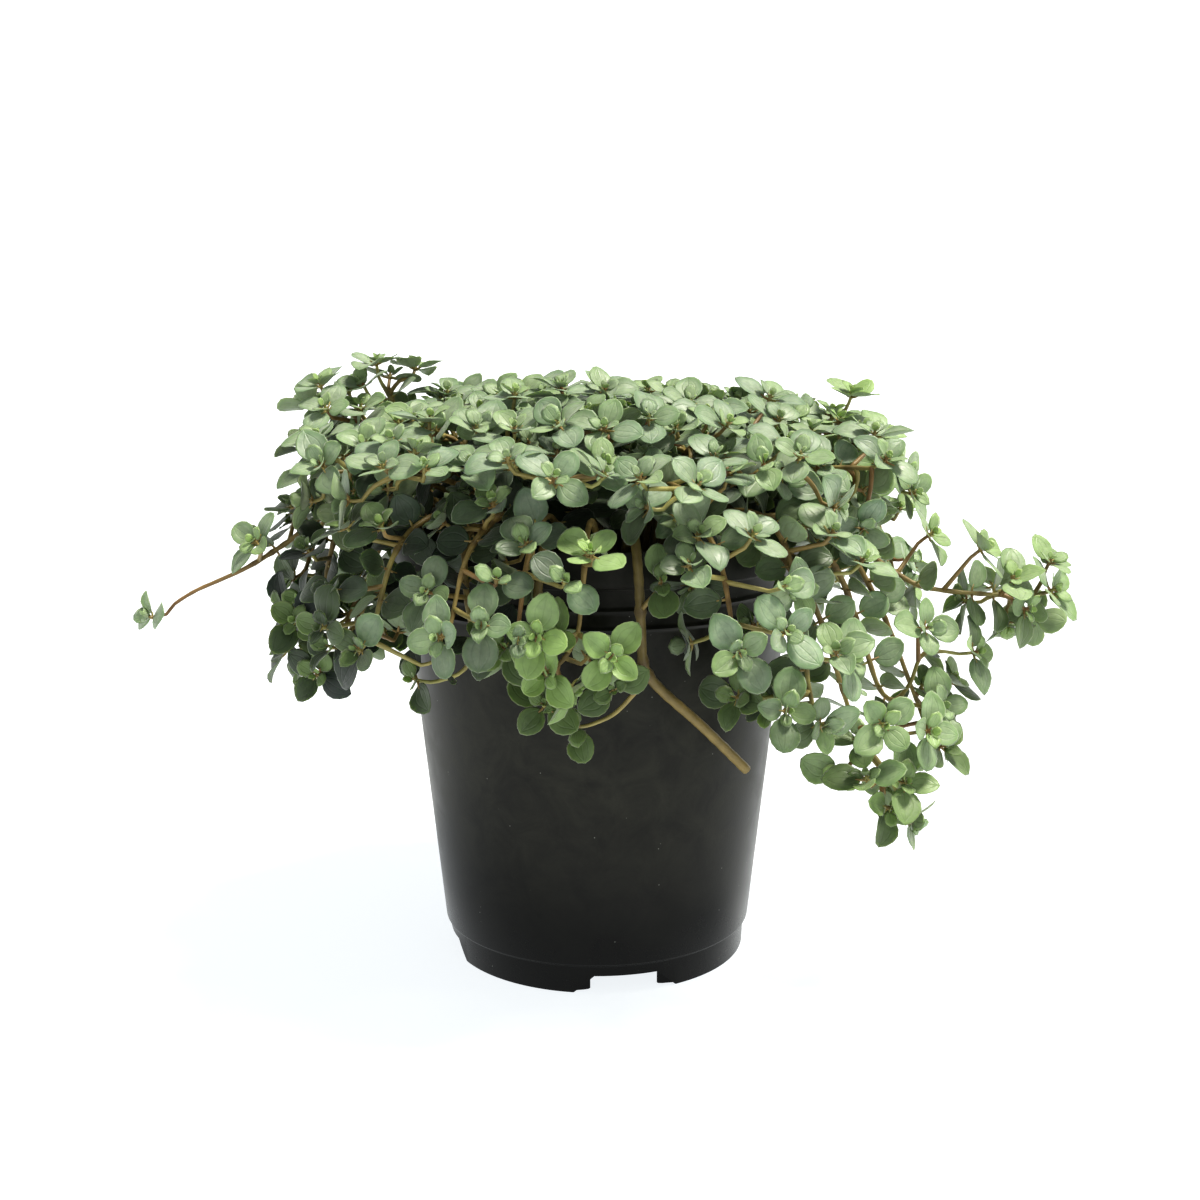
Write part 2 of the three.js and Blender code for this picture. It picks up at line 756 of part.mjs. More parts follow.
function planShoots() {
  const shoots = [];
  const add = (shoot) => {
    recordStem(alongStem(shoot.curve), shoot.thick, shoot);
    shoots.push(shoot);
  };
  trailing.forEach((row, i) => {
    const [rootRadius, azimuth] = row.root;
    const route = [around(rootRadius, azimuth, stem.mouth), ...row.route.map((p) => new THREE.Vector3(...p))];
    const shoot = startShoot(row.name, azimuth, route, row.thick ?? stem.baseRadius, seeds.trailing + i);
    shoot.row = row;
    add(shoot);
  });
  const byRule = (name, number, azimuth, rootRadius, reachTo, arc, seed) => {
    for (const turn of turnsTried) {
      const { reach, height } = reachTo(azimuth + turn);
      const route = plannedRoute(azimuth + turn, rootRadius, reach, height, arc);
      const label = `${name}_${String(number).padStart(2, "0")}`;
      const shoot = startShoot(label, azimuth + turn, route, stem.baseRadius, seed);
      if (stemIsClear(alongStem(shoot.curve), stem.baseRadius, shoot)) {
        add(shoot);
        return;
      }
    }
    throw new Error(`${name} ${number} finds no room`);
  };
  skirt.tips.forEach(([azimuth, reach, height], i) => {
    byRule(skirt.name, i + 1, azimuth, skirt.root, () => ({ reach, height }), skirt.arc, seeds.skirt + i);
  });
  let number = 0;
  for (const ring of [...rings].reverse()) {
    for (let i = 0; i < ring.count; i++) {
      const draw = seeded(seeds.ringPlace + number);
      const azimuth = ring.start + (360 * i) / ring.count + scatter.azimuth * (draw() - 0.5);
      const shift = scatter.reach * (draw() - 0.5);
      const lift = scatter.height * (draw() - 0.5);
      const reachTo = (direction) => {
        const reach = ring.reach + (ring.count > 1 ? shift : 0);
        const tip = around(reach, direction, 0);
        return { reach, height: moundHeight(tip.x, tip.y) - 1 + lift };
      };
      byRule(ring.name, ring.first + i, azimuth, ring.root, reachTo, ring.arc, seeds.ringLeaves + number);
      number++;
    }
  }
  return shoots;
}

// Leaves and branches for every shoot, in the order that the shoots were planned.
function leafShoots(shoots) {
  for (const shoot of shoots) {
    const draw = seeded(shoot.seed);
    const tip = pointAt(shoot.curve, shoot.curve.length);
    shoot.axis = crossAxis(draw, tip.point, tip.along);
    shoot.top = tip.point.clone().addScaledVector(shoot.axis, knot.rise);
    const wanted = shoot.row ? shoot.row.tipLeaves : 4;
    if (wanted > 0) {
      shoot.tipLeaves = placeCross(draw, shoot, shoot.top, shoot.axis, wanted);
    }
    if (shoot.row) {
      for (const branch of shoot.row.branches) {
        const from = pointAt(shoot.curve, shoot.curve.length - branch.back).point;
        const way = [...(branch.via ? [branch.via] : []), branch.offset];
        const points = way.map((offset) => from.clone().add(new THREE.Vector3(...offset)));
        placeBranch(draw, shoot, branch.back, [from, ...points], branch.leaves);
      }
      shoot.row.pairs.forEach((back, i) => placePair(draw, shoot, back, i % 2 ? Math.PI / 2 : 0.3));
    } else {
      const hand = draw() < 0.5 ? 1 : -1;
      placeSideBranch(draw, shoot, sideBranch.first + sideBranch.backSpread * draw(), hand, 4);
      placeSideBranch(draw, shoot, sideBranch.second + sideBranch.backSpread * draw(), -hand, 2);
    }
  }
}

// From here on a shoot's skin is built as one closed mesh, ring by ring.

// The direction half-way between two.
function between(a, b) {
  return a.clone().add(b).normalize();
}

// A ring of corners round a stem. The first corner lies to the side given.
function addRing(skin, centre, along, side, radius, count) {
  const first = side.clone().addScaledVector(along, -side.dot(along)).normalize();
  const across = along.clone().cross(first);
  const corners = [];
  for (let k = 0; k < count; k++) {
    const out = turnedBy([first, across], (2 * Math.PI * k) / count);
    corners.push(skin.points.push(centre.clone().addScaledVector(out, radius)) - 1);
  }
  return { corners, side: first };
}

// The skin between two rings, which may have three and four corners.
function joinRings(skin, low, high) {
  const a = low.corners;
  const b = high.corners;
  let i = 0;
  let j = 0;
  while (i < a.length || j < b.length) {
    if (j === b.length || (i < a.length && (i + 1) / a.length <= (j + 1) / b.length)) {
      skin.triangles.push(a[i % a.length], a[(i + 1) % a.length], b[j % b.length]);
      i++;
    } else {
      skin.triangles.push(a[i % a.length], b[(j + 1) % b.length], b[j % b.length]);
      j++;
    }
  }
}

// The four corners of a knot's face, started where its last two lie on the upper side of the leaf.
function turnedToLeaf(skin, face, leaf) {
  const turns = [0, 1, 2, 3].map((k) => [...face.slice(k), ...face.slice(0, k)]);
  const height = (corners) => {
    const [a, b, c, d] = corners.map((corner) => skin.points[corner].dot(leaf.face));
    return c + d - a - b;
  };
  return turns.reduce((a, b) => (height(b) > height(a) ? b : a));
}

// A cupped blade that grows out of one face of a knot. Its middle is raised on both sides.
function addLeaf(skin, face, leaf) {
  const across = leaf.face.clone().cross(leaf.along);
  const half = leafForm.thickness / 2;
  const start = leaf.centre.clone().addScaledVector(leaf.along, -leaf.blade / 2);
  const place = (share, sideways, height) =>
    skin.points.push(
      start
        .clone()
        .addScaledVector(leaf.along, share * leaf.blade)
        .addScaledVector(across, sideways * leaf.width)
        .addScaledVector(leaf.face, height),
    ) - 1;
  const [shoulder, shoulderOut] = outline.shoulder;
  const [cheek, cheekOut] = outline.cheek;
  const edge = [
    place(shoulder, -shoulderOut, leafForm.cup),
    place(cheek, -cheekOut, leafForm.cup),
    place(1, 0, 0),
    place(cheek, cheekOut, leafForm.cup),
    place(shoulder, shoulderOut, leafForm.cup),
  ];
  const above = place(outline.crest, 0, half);
  const below = place(outline.crest, 0, -half);
  const [lowLeft, lowRight, highRight, highLeft] = turnedToLeaf(skin, face, leaf);
  const top = [highLeft, ...edge, highRight];
  const bottom = [lowLeft, ...edge, lowRight];
  top.forEach((corner, i) => skin.triangles.push(corner, top[(i + 1) % top.length], above));
  bottom.forEach((corner, i) => skin.triangles.push(bottom[(i + 1) % bottom.length], corner, below));
  skin.triangles.push(highLeft, lowLeft, edge[0], lowRight, highRight, edge[edge.length - 1]);
}

// A knot: two rings of four corners. Leaves and branches grow on the faces that they point out of.
function addKnot(skin, before, centre, axis, growths) {
  const across = axis.clone().cross(growths[0].outward);
  const quarter = Math.PI / 2;
  const sides = [0, 1, 2, 3].map((k) => turnedBy([growths[0].outward, across], quarter * (k - 0.5)));
  const side = sides.reduce((a, b) => (b.dot(before.side) > a.dot(before.side) ? b : a));
  const low = addRing(skin, centre.clone().addScaledVector(axis, -knot.half), axis, side, knot.radius, 4);
  const high = addRing(skin, centre.clone().addScaledVector(axis, knot.half), axis, side, knot.radius, 4);
  joinRings(skin, before, low);
  for (let k = 0; k < 4; k++) {
    const next = (k + 1) % 4;
    const face = [low.corners[k], low.corners[next], high.corners[next], high.corners[k]];
    const out = turnedBy([low.side, axis.clone().cross(low.side)], quarter * (k + 0.5));
    const growth = growths.find((g) => g.outward.dot(out) > sameWay);
    if (growth) {
      growth.grow(face);
    } else {
      skin.triangles.push(face[0], face[1], face[2], face[0], face[2], face[3]);
    }
  }
  return high;
}

function leafGrowths(skin, leaves) {
  return leaves.map((leaf) => ({ outward: leaf.outward, grow: (face) => addLeaf(skin, face, leaf) }));
}

// The end of a stem: a cross of leaves round a bud, or a plain cut.
function addEnd(skin, before, top, axis, leaves) {
  if (leaves.length === 0) {
    const [a, b, c] = before.corners;
    skin.triangles.push(a, b, c);
    return;
  }
  const last = addKnot(skin, before, top, axis, leafGrowths(skin, leaves));
  const bud = skin.points.push(top.clone().addScaledVector(axis, knot.half + knot.bud)) - 1;
  last.corners.forEach((corner, k) => skin.triangles.push(corner, last.corners[(k + 1) % 4], bud));
}

function addBranch(skin, face, branch) {
  const corner = skin.points[face[0]];
  const opposite = skin.points[face[2]];
  const middle = corner.clone().lerp(opposite, 0.5);
  let ring = { corners: face, side: corner.clone().sub(middle).normalize() };
  const stations = branch.curve.length > stem.longBranch ? [0.5, 1] : [1];
  for (const share of stations) {
    const { point, along } = pointAt(branch.curve, branch.curve.length * share);
    const way = share === 1 ? between(along, branch.axis) : along;
    const next = addRing(skin, point, way, ring.side, stem.branchRadius, stem.sides);
    joinRings(skin, ring, next);
    ring = next;
  }
  addEnd(skin, ring, branch.top, branch.axis, branch.leaves);
}

// Distances along a curve where plain rings go: where it has turned or run far enough since the last one.
function plainStations(curve, knots) {
  const distances = [];
  let last = 0;
  let direction = pointAt(curve, 0).along;
  for (let d = 1; d < curve.length - knot.apart; d++) {
    const passed = knots.filter((k) => k <= d && k > last);
    if (passed.length > 0) {
      last = passed[passed.length - 1];
      direction = pointAt(curve, last).along;
    }
    const { along } = pointAt(curve, d);
    const bent = along.angleTo(direction) / degrees > stem.sharpestTurn;
    if ((bent || d - last > stem.longestStep) && knots.every((k) => Math.abs(k - d) > knot.apart)) {
      distances.push(d);
      last = d;
      direction = along;
    }
  }
  return distances;
}

function makeShoot(shoot) {
  const { curve, thick } = shoot;
  const skin = { points: [], triangles: [] };
  const cut = shoot.row && shoot.row.tipLeaves === 0;
  const radiusAt = (d) => (cut ? thick : THREE.MathUtils.lerp(thick, stem.tipRadius, d / curve.length));
  const outward = around(1, shoot.azimuth, 0);
  const upward = new THREE.Vector3(0, 0, 1);
  const knots = [
    ...shoot.pairs.map((pair) => ({ at: curve.length - pair.back, growths: leafGrowths(skin, pair.leaves) })),
    ...shoot.branches.map((branch) => {
      const at = curve.length - branch.from;
      const { point, along } = pointAt(curve, at);
      const way = pointAt(branch.curve, branch.curve.length / 2).point.sub(point);
      way.addScaledVector(along, -way.dot(along)).normalize();
      return { at, growths: [{ outward: way, grow: (face) => addBranch(skin, face, branch) }] };
    }),
  ];
  const plain = plainStations(curve, knots.map((k) => k.at));
  const stations = [...knots, ...[...plain, curve.length].map((at) => ({ at }))].sort((a, b) => a.at - b.at);
  const foot = addRing(skin, shoot.root.clone().setZ(stem.foot), upward, outward, thick, stem.sides);
  skin.triangles.push(foot.corners[0], foot.corners[2], foot.corners[1]);
  let ring = addRing(skin, shoot.root, upward, outward, thick, stem.sides);
  joinRings(skin, foot, ring);
  for (const { at, growths } of stations) {
    const { point, along } = pointAt(curve, at);
    if (growths) {
      ring = addKnot(skin, ring, point, along, growths);
    } else {
      const way = at === curve.length && shoot.tipLeaves.length > 0 ? between(along, shoot.axis) : along;
      const next = addRing(skin, point, way, ring.side, radiusAt(at), stem.sides);
      joinRings(skin, ring, next);
      ring = next;
    }
  }
  addEnd(skin, ring, shoot.top, shoot.axis, shoot.tipLeaves);
  return solidFrom(indexedGeometry(skin.points, skin.triangles));
}

function meshOf(name, solid, material) {
  const mesh = new THREE.Mesh(geometryFrom(solid), material);
  mesh.name = name;
  return mesh;
}

const potPlastic = new THREE.MeshStandardMaterial({ color: colours.pot, roughness: 0.55, metalness: 0 });
const peat = new THREE.MeshStandardMaterial({ color: colours.mix, roughness: 1, metalness: 0 });
const foliage = new THREE.MeshStandardMaterial({ color: colours.foliage, roughness: 0.7, metalness: 0 });

const shoots = planShoots();
leafShoots(shoots);

const plant = new THREE.Group();
plant.add(meshOf("nursery_pot", makePot(), potPlastic));
plant.add(meshOf("potting_mix", makeMix(shoots), peat));
for (const shoot of shoots) {
  plant.add(meshOf(shoot.name, makeShoot(shoot), foliage));
}

export default plant;
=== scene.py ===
import math
from bisect import bisect_left
from functools import partial
from itertools import count as counting

import bpy
import numpy as np
from mathutils import Matrix, Vector, noise


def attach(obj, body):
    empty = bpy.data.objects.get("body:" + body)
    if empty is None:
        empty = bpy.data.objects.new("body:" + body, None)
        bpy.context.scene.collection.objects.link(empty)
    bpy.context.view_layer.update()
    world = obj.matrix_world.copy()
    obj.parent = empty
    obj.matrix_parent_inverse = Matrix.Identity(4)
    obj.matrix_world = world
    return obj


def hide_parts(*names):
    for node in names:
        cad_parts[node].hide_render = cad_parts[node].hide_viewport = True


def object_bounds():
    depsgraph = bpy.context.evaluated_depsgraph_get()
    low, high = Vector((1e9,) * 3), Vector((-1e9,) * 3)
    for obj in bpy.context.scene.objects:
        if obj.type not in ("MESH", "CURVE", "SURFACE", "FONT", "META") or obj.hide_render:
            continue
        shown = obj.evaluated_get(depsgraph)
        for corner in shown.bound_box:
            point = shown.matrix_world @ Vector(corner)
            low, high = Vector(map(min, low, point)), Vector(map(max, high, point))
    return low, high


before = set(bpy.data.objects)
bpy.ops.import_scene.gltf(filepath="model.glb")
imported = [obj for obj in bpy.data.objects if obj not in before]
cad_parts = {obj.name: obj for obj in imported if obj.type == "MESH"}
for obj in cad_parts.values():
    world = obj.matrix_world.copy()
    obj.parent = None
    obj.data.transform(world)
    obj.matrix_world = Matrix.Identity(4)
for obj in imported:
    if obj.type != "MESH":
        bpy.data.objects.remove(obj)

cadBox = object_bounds()
mm = 0.001  # the plan below is in millimetres, as the part is drawn, and the meshes are made in metres
print("frame loaded:", len(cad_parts), "nodes")


def hexColour(code):
    # sRGB hex to the linear values that Blender's shaders take
    parts = [int(code[i:i + 2], 16) / 255 for i in (1, 3, 5)]
    return tuple(p / 12.92 if p <= 0.04045 else ((p + 0.055) / 1.055) ** 2.4 for p in parts) + (1.0,)


def addNode(tree, kind, links=None, **settings):
    # links: an input's name or number, and a value, an output, or a node whose first output is meant
    node = tree.nodes.new("ShaderNode" + kind)
    for name, value in settings.items():
        setattr(node, name, value)
    for name, value in (links or {}).items():
        socket = node.inputs[name] if isinstance(name, int) else next(
            s for s in node.inputs if s.name == name and s.enabled)
        if isinstance(value, bpy.types.Node):
            value = next(s for s in value.outputs if s.enabled)
        if isinstance(value, bpy.types.NodeSocket):
            tree.links.new(value, socket)
        else:
            socket.default_value = value
    return node


def emptyTree(owner):
    # clears a material's or a world's nodes, and gives the function that adds one to them
    owner.use_nodes = True
    owner.node_tree.nodes.clear()
    return partial(addNode, owner.node_tree)


def newMaterial(name):
    material = bpy.data.materials.new(name)
    return material, emptyTree(material)


def newObject(name, data):
    made = bpy.data.objects.new(name, data)
    bpy.context.scene.collection.objects.link(made)
    return made


def newPiece(name, mesh, node):
    # an object that rides on the plant's one body and stands for a node of the frame
    piece = newObject(name, mesh)
    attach(piece, "root")
    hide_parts(node)
    return piece


def newMesh(name, points, faces, materials=()):
    mesh = bpy.data.meshes.new(name)
    mesh.from_pydata([tuple(p) for p in np.asarray(points, dtype=float) * mm], [], faces)
    for material in materials:
        mesh.materials.append(material)
    return mesh


# The camera stands where the photograph was taken from.
camera = {
    "place": (0.000815, -0.412064, 0.170291),
    "pitch": 0.190,  # radians that it looks down
    "focalPixels": 1622.884,  # for an image 1200 pixels wide
    "imagePixels": 1200,
    "sensor": 36.0,  # millimetres wide
    "clip": (0.01, 20),
}


def makeCamera():
    data = bpy.data.cameras.new("camera")
    data.sensor_width = camera["sensor"]
    data.lens = camera["sensor"] * camera["focalPixels"] / camera["imagePixels"]
    data.clip_start, data.clip_end = camera["clip"]
    thing = newObject("camera", data)
    thing.location = camera["place"]
    thing.rotation_euler = (math.pi / 2 - camera["pitch"], 0, 0)
    bpy.context.scene.camera = thing


makeCamera()

# The plan of the plant: the same rules and seeds that place the part's stems and leaves.
pot = {
    "height": 112, "rimRadius": 53, "collarRadius": 52.3, "collarBottom": 103.6, "collarStep": 0.6,
    "wallTop": (49.6, 98), "wallBottom": (40.05, 7.7), "footRadius": 38.7, "footTopRadius": 38.95,
    "ledge": 0.5, "footWidth": 2.6, "wall": 1.2, "floorBottom": 4, "floorTop": 5.4, "floorRound": 0.6,
    "beadCentres": (93.4, 97.9), "beadHalfHeight": 0.8, "beadDepth": 0.8,
    "notchAngles": (-79, 11, 101, 191), "notchBottom": 26, "notchTop": 16, "notchHeight": 4.6,
    "drainAngles": (-34, 56, 146, 236), "drainRadius": 4.5, "drainCircle": 22,
    "sides": 144, "drainSides": 32, "round": 0.35,
}
mix = {"top": 100, "gap": 0.5, "sides": 96, "rings": 34, "lump": 1.6, "crumbs": 420}
stem = {"baseRadius": 1.1, "mouth": 102.5}
knot = {"radius": 0.95, "half": 0.6, "rise": 2.5, "bud": 0.9}
crossLean = {"along": 0.1, "chance": 0.5, "leastForward": 0.3}
leafForm = {"widthShare": 0.94, "liftSpread": 16}
lowerPair = {"blade": 7.6, "spread": 0.8, "petiole": 1.5, "lift": 8}
upperPair = {"blade": 6, "spread": 0.6, "petiole": 1.1, "lift": 22}
sideBranch = {
    "first": 6, "second": 14, "backSpread": 2, "length": 9, "lengthSpread": 2, "forward": 0.35,
    "sideways": 0.85, "tries": [(1, 0.2, 1), (-1, 0.2, 1), (1, 0.7, 0.85), (-1, 0.7, 0.85)],
}
clearance = {
    "sideways": 0.45, "edge": 0.95, "middle": 1.3, "stem": 0.65, "rod": 0.8, "ownStem": 3.6,
    "aboveMix": 2, "insideCollar": 2.3, "besideRim": 1,
}
rimSteps = 8
rodStep = 1.5
mostLeaves, mostRods = 6000, 20000
turnsTried = (0, 3, -3, 6, -6, 9, -9, 12, -12, 15, -15)
crossTurns = (0, 0.4, 0.8, 1.2, 0.2, 0.6)
seeds = {"trailing": 100, "skirt": 200, "ringPlace": 300, "ringLeaves": 400}
scatter = {"azimuth": 6, "reach": 4, "height": 4}
mound = {"base": 95, "halfWidth": 92, "halfDepth": 87, "rise": 47, "fullness": 2.6, "lean": 0.55,
         "toFront": 0.33, "leastUp": 0.38}

# from the outside in: name, first number, count, first azimuth, root radius, reach, arc
rings = [
    ("shoulder_shoot", 1, 14, 3, 30, 72, [(0.12, 117), (0.56, 127)]),
    ("upper_shoot", 1, 11, 8, 20, 50, [(0.14, 118), (0.6, 133)]),
    ("crown_shoot", 1, 6, 25, 10, 27, [(0.25, 120)]),
    ("crown_shoot", 7, 1, 60, 1, 3, [(0.5, 124)]),
]
skirt = {
    "root": 38,
    "arc": [(0.06, 113), (0.34, 120), (0.76, 114)],
    # azimuth in degrees, reach and height of each tip
    "tips": [(18, 88, 88), (44, 85, 82), (70, 78, 88), (97, 76, 82), (123, 78, 88), (150, 75, 84),
             (173, 79, 94), (193, 73, 79), (231, 80, 92), (247, 81, 97), (258, 80, 98), (292, 80, 94),
             (307, 80, 76)],
}

# the shoots that stand out in the photograph; a branch is (back from the tip, offset of its end, leaves, way)
trailing = [
    {"name": "trailing_left", "root": (43.5, 188),
     "route": [(-46, -7, 114), (-54, -8, 119.5), (-66, -8, 115.5), (-78.5, -8, 107), (-89.7, -10, 100.3),
               (-97.7, -11, 97), (-105, -12, 93.2), (-109.3, -12, 88.4)],
     "tipLeaves": 3, "pairs": [34, 42, 52], "branches": [(29, (3, -9, 5), 4), (38, (0, 9, 5), 4)]},
    {"name": "trailing_right_high", "root": (43.5, 6),
     "route": [(46, 4.5, 116), (51.5, 5, 128), (58, 5, 135.5), (64.7, 5, 140.5)],
     "tipLeaves": 4, "pairs": [4], "branches": [(15, (7, -7, 4), 4)]},
    {"name": "trailing_right_level", "root": (43.5, -21),
     "route": [(44, -18, 114), (51, -20, 117.2), (62, -21.5, 110), (74.9, -24, 100.8), (85.7, -25, 98),
               (100.3, -25, 97.1), (108, -25, 97)],
     "tipLeaves": 4, "pairs": [6, 17], "branches": [(24, (6, -3, 9), 4), (36, (7, 8, 7), 4)]},
    {"name": "trailing_right_arc", "root": (43.5, -40),
     "route": [(37, -31, 114), (44, -35.5, 117.5), (56, -36.5, 106), (63, -35, 89), (67.5, -34, 76.5),
               (71.5, -33.5, 73), (75.3, -33, 77), (77.9, -33, 84), (83.4, -33, 84.8), (88, -33, 84)],
     "tipLeaves": 4, "pairs": [9, 26, 44], "branches": [(12, (-1, -3, 8), 4), (24, (9, -5, -1), 4)]},
    {"name": "trailing_right_outer", "root": (43.5, -29),
     "route": [(42, -24, 114.5), (48.5, -28, 118.5), (60, -29.5, 109), (70, -28.5, 91), (77.5, -27, 73),
               (82.5, -25.5, 62)],
     "tipLeaves": 4, "pairs": [18, 34], "branches": [(8, (2, -8, -8), 4), (12, (8, 7, 0), 4)]},
    {"name": "trailing_right_low", "root": (43.5, -56),
     "route": [(26, -41, 114), (32, -48.5, 117.5), (43, -52.5, 109), (51, -50.5, 96), (57, -46.5, 79),
               (61.5, -45.5, 67), (65.5, -47.5, 61), (70, -51, 57)],
     "tipLeaves": 4, "pairs": [22, 58],
     "branches": [(12, (-6, -3, -6), 1), (5, (-1, -4, -7), 4), (14, (13, -4, 3), 4), (17, (4, -8, 3), 4)]},
    {"name": "trailing_front_knot", "root": (43.5, -82), "thick": 1.15,
     "route": [(7, -47.5, 114), (8, -55, 117.5), (8.9, -60.5, 113), (9.6, -61.5, 102.8), (10.4, -60, 90),
               (12, -58.8, 84.5), (21.1, -57, 75.6), (28, -54.7, 68.4), (34.7, -52, 61.1)],
     "tipLeaves": 0, "pairs": [],
     "branches": [(34, (-15, 0.5, -12), 2, (-7.5, 1.5, -9)), (38, (-6, -3.5, -6), 2), (50, (4, -6, 6), 2)]},
    {"name": "trailing_front_cut", "root": (43.5, -98),
     "route": [(-7, -47.5, 114), (-10, -55, 117.2), (-12.5, -61, 110), (-12.6, -62, 98), (-10.6, -60, 86),
               (-7.7, -58, 77), (-4.4, -56, 70)],
     "tipLeaves": 0, "pairs": [], "branches": [(9, (-3, -4, 0.5), 4), (22, (-8, -5, 3), 4)]},
    {"name": "trailing_front_cluster", "root": (43.5, -90),
     "route": [(0, -48, 114.5), (-1, -56, 119.5), (-2, -66, 117.5), (-3, -71, 106), (-4.5, -72.5, 96),
               (-9.5, -73.5, 89.5)],
     "tipLeaves": 4, "pairs": [30],
     "branches": [(6, (-6, -5, 4), 4), (10, (7, -2.5, -4), 4), (25, (2, -6, 1), 4)]},
    {"name": "trailing_front_left", "root": (43.5, -121),
     "route": [(-24.5, -42, 114), (-27, -48.5, 118), (-29, -56.5, 114), (-28.6, -59, 102),
               (-27.4, -58, 92.5), (-29.2, -57, 86.5), (-34, -56, 83.7), (-39, -55, 82.4)],
     "tipLeaves": 2, "pairs": [19, 24], "branches": [(14, (6, -5, 4), 4), (28, (-7, -6, 2), 4)]},
    {"name": "trailing_left_low", "root": (43.5, 216),
     "route": [(-38.5, -28, 114.5), (-46, -32.5, 118), (-52.5, -35, 107), (-55.5, -34, 95), (-60, -31, 89),
               (-67, -28.5, 87.3), (-73, -27.5, 83)],
     "tipLeaves": 4, "pairs": [15, 34],
     "branches": [(6, (3, -6, -7), 4), (12, (-6, 4, 7), 4), (22, (-4, -7, -7), 4)]},
    {"name": "tall_shoot_left", "root": (36, 165),
     "route": [(-38, 9.5, 117), (-46, 10.5, 132), (-52, 11, 140), (-57, 11, 148.5)],
     "tipLeaves": 4, "pairs": [7], "branches": [(12, (-8, -5, 5), 4), (18, (8, 4, 7), 4)]},
    {"name": "tall_shoot_far_left", "root": (36, 183),
     "route": [(-41, -1, 117), (-52, -1, 131), (-61.5, 0, 138.5), (-69, 0, 143.5)],
     "tipLeaves": 4, "pairs": [7], "branches": [(12, (-7, -8, 2), 4), (15, (-7, 12, 6), 4)]},
]


def multiply32(a, b):
    return (a * b) & 0xFFFFFFFF


def seeded(seed):
    # a repeatable stream of numbers from 0 to 1
    state = [seed & 0xFFFFFFFF]

    def draw():
        state[0] = (state[0] + 0x6D2B79F5) & 0xFFFFFFFF
        t = state[0]
        t = multiply32(t ^ (t >> 15), t | 1)
        t ^= (t + multiply32(t ^ (t >> 7), t | 61)) & 0xFFFFFFFF
        return ((t ^ (t >> 14)) & 0xFFFFFFFF) / 4294967296
    return draw


def vector(x, y, z):
    return np.array([x, y, z], dtype=float)


def unit(v):
    return v / math.sqrt(v[0] * v[0] + v[1] * v[1] + v[2] * v[2])


def cross(a, b):
    return vector(a[1] * b[2] - a[2] * b[1], a[2] * b[0] - a[0] * b[2], a[0] * b[1] - a[1] * b[0])


def around(radius, azimuth, z):
    return vector(radius * math.cos(math.radians(azimuth)), radius * math.sin(math.radians(azimuth)), z)


def wallRadius(z):
    (topRadius, topZ), (bottomRadius, bottomZ) = pot["wallTop"], pot["wallBottom"]
    return bottomRadius + (z - bottomZ) * (topRadius - bottomRadius) / (topZ - bottomZ)


def facing(point):
    # the way that a leaf at a point of the mound faces, never less than a little upward
    normal = unit(vector(point[0] / mound["halfWidth"] ** 2, point[1] / mound["halfDepth"] ** 2,
                         (point[2] - mound["base"]) / mound["rise"] ** 2))
    return unit(vector(normal[0] * mound["lean"], normal[1] * mound["lean"] - mound["toFront"],
                       max(normal[2], mound["leastUp"])))


def moundHeight(x, y):
    out = abs(x / mound["halfWidth"]) ** mound["fullness"] + abs(y / mound["halfDepth"]) ** mound["fullness"]
    return mound["base"] + mound["rise"] * max(1 - out, 0) ** (1 / mound["fullness"])


def smoothLine(points, cuts=60):
    # a Catmull-Rom line through the points, and the distance run at each cut
    p = [2 * points[0] - points[1], *points, 2 * points[-1] - points[-2]]
    line = []
    for k in range(cuts + 1):
        place = (len(points) - 1) * (k / cuts)
        i = min(int(place), len(points) - 2)
        t = place - i
        before, a, b, after = p[i], p[i + 1], p[i + 2], p[i + 3]
        out, back = 0.5 * (b - before), 0.5 * (after - a)
        line.append(a + out * t + (3 * (b - a) - 2 * out - back) * t ** 2
                    + (2 * (a - b) + out + back) * t ** 3)
    run = [0.0]
    for a, b in zip(line, line[1:]):
        run.append(run[-1] + math.dist(a, b))
    return {"line": line, "run": run, "length": run[-1]}


def pointAt(curve, distance):
    at = min(max(distance, 0), curve["length"])
    i = bisect_left(curve["run"], at, 1, len(curve["run"]) - 1)
    a, b = curve["line"][i - 1], curve["line"][i]
    share = (at - curve["run"][i - 1]) / (curve["run"][i] - curve["run"][i - 1])
    return a + (b - a) * share, unit(b - a)


def backFromTip(shoot, back):
    return pointAt(shoot["curve"], shoot["curve"]["length"] - back)


def crosswise(along, face, fallback):
    # two directions at right angles to a stem, the first turned to the face where it can be
    first = face - along * (face @ along)
    if math.sqrt(first @ first) < 0.35:
        first = fallback - along * (fallback @ along)
    first = unit(first)
    return first, cross(along, first)


class Placed:
    # everything placed so far: a disc for each leaf and points along each stem
    def __init__(self):
        self.discs = 0
        self.centre, self.face = np.zeros((mostLeaves, 3)), np.zeros((mostLeaves, 3))
        self.rim = np.zeros((mostLeaves, rimSteps, 3))
        self.reach, self.cross = np.zeros(mostLeaves), np.zeros(mostLeaves, dtype=int)
        self.rods = 0
        self.point, self.radius = np.zeros((mostRods, 3)), np.zeros(mostRods)
        self.shoot = np.zeros(mostRods, dtype=int)

    def addLeaf(self, leaf):
        i = self.discs
        self.centre[i], self.face[i], self.reach[i] = leaf["centre"], leaf["face"], leaf["reach"]
        self.rim[i], self.cross[i] = rimPoints(leaf), leaf["cross"]
        self.discs += 1

    def addStem(self, points, radius, shoot):
        for p in points:
            self.point[self.rods], self.radius[self.rods], self.shoot[self.rods] = p, radius, shoot["id"]
            self.rods += 1


placed = Placed()
crossNumbers = counting()


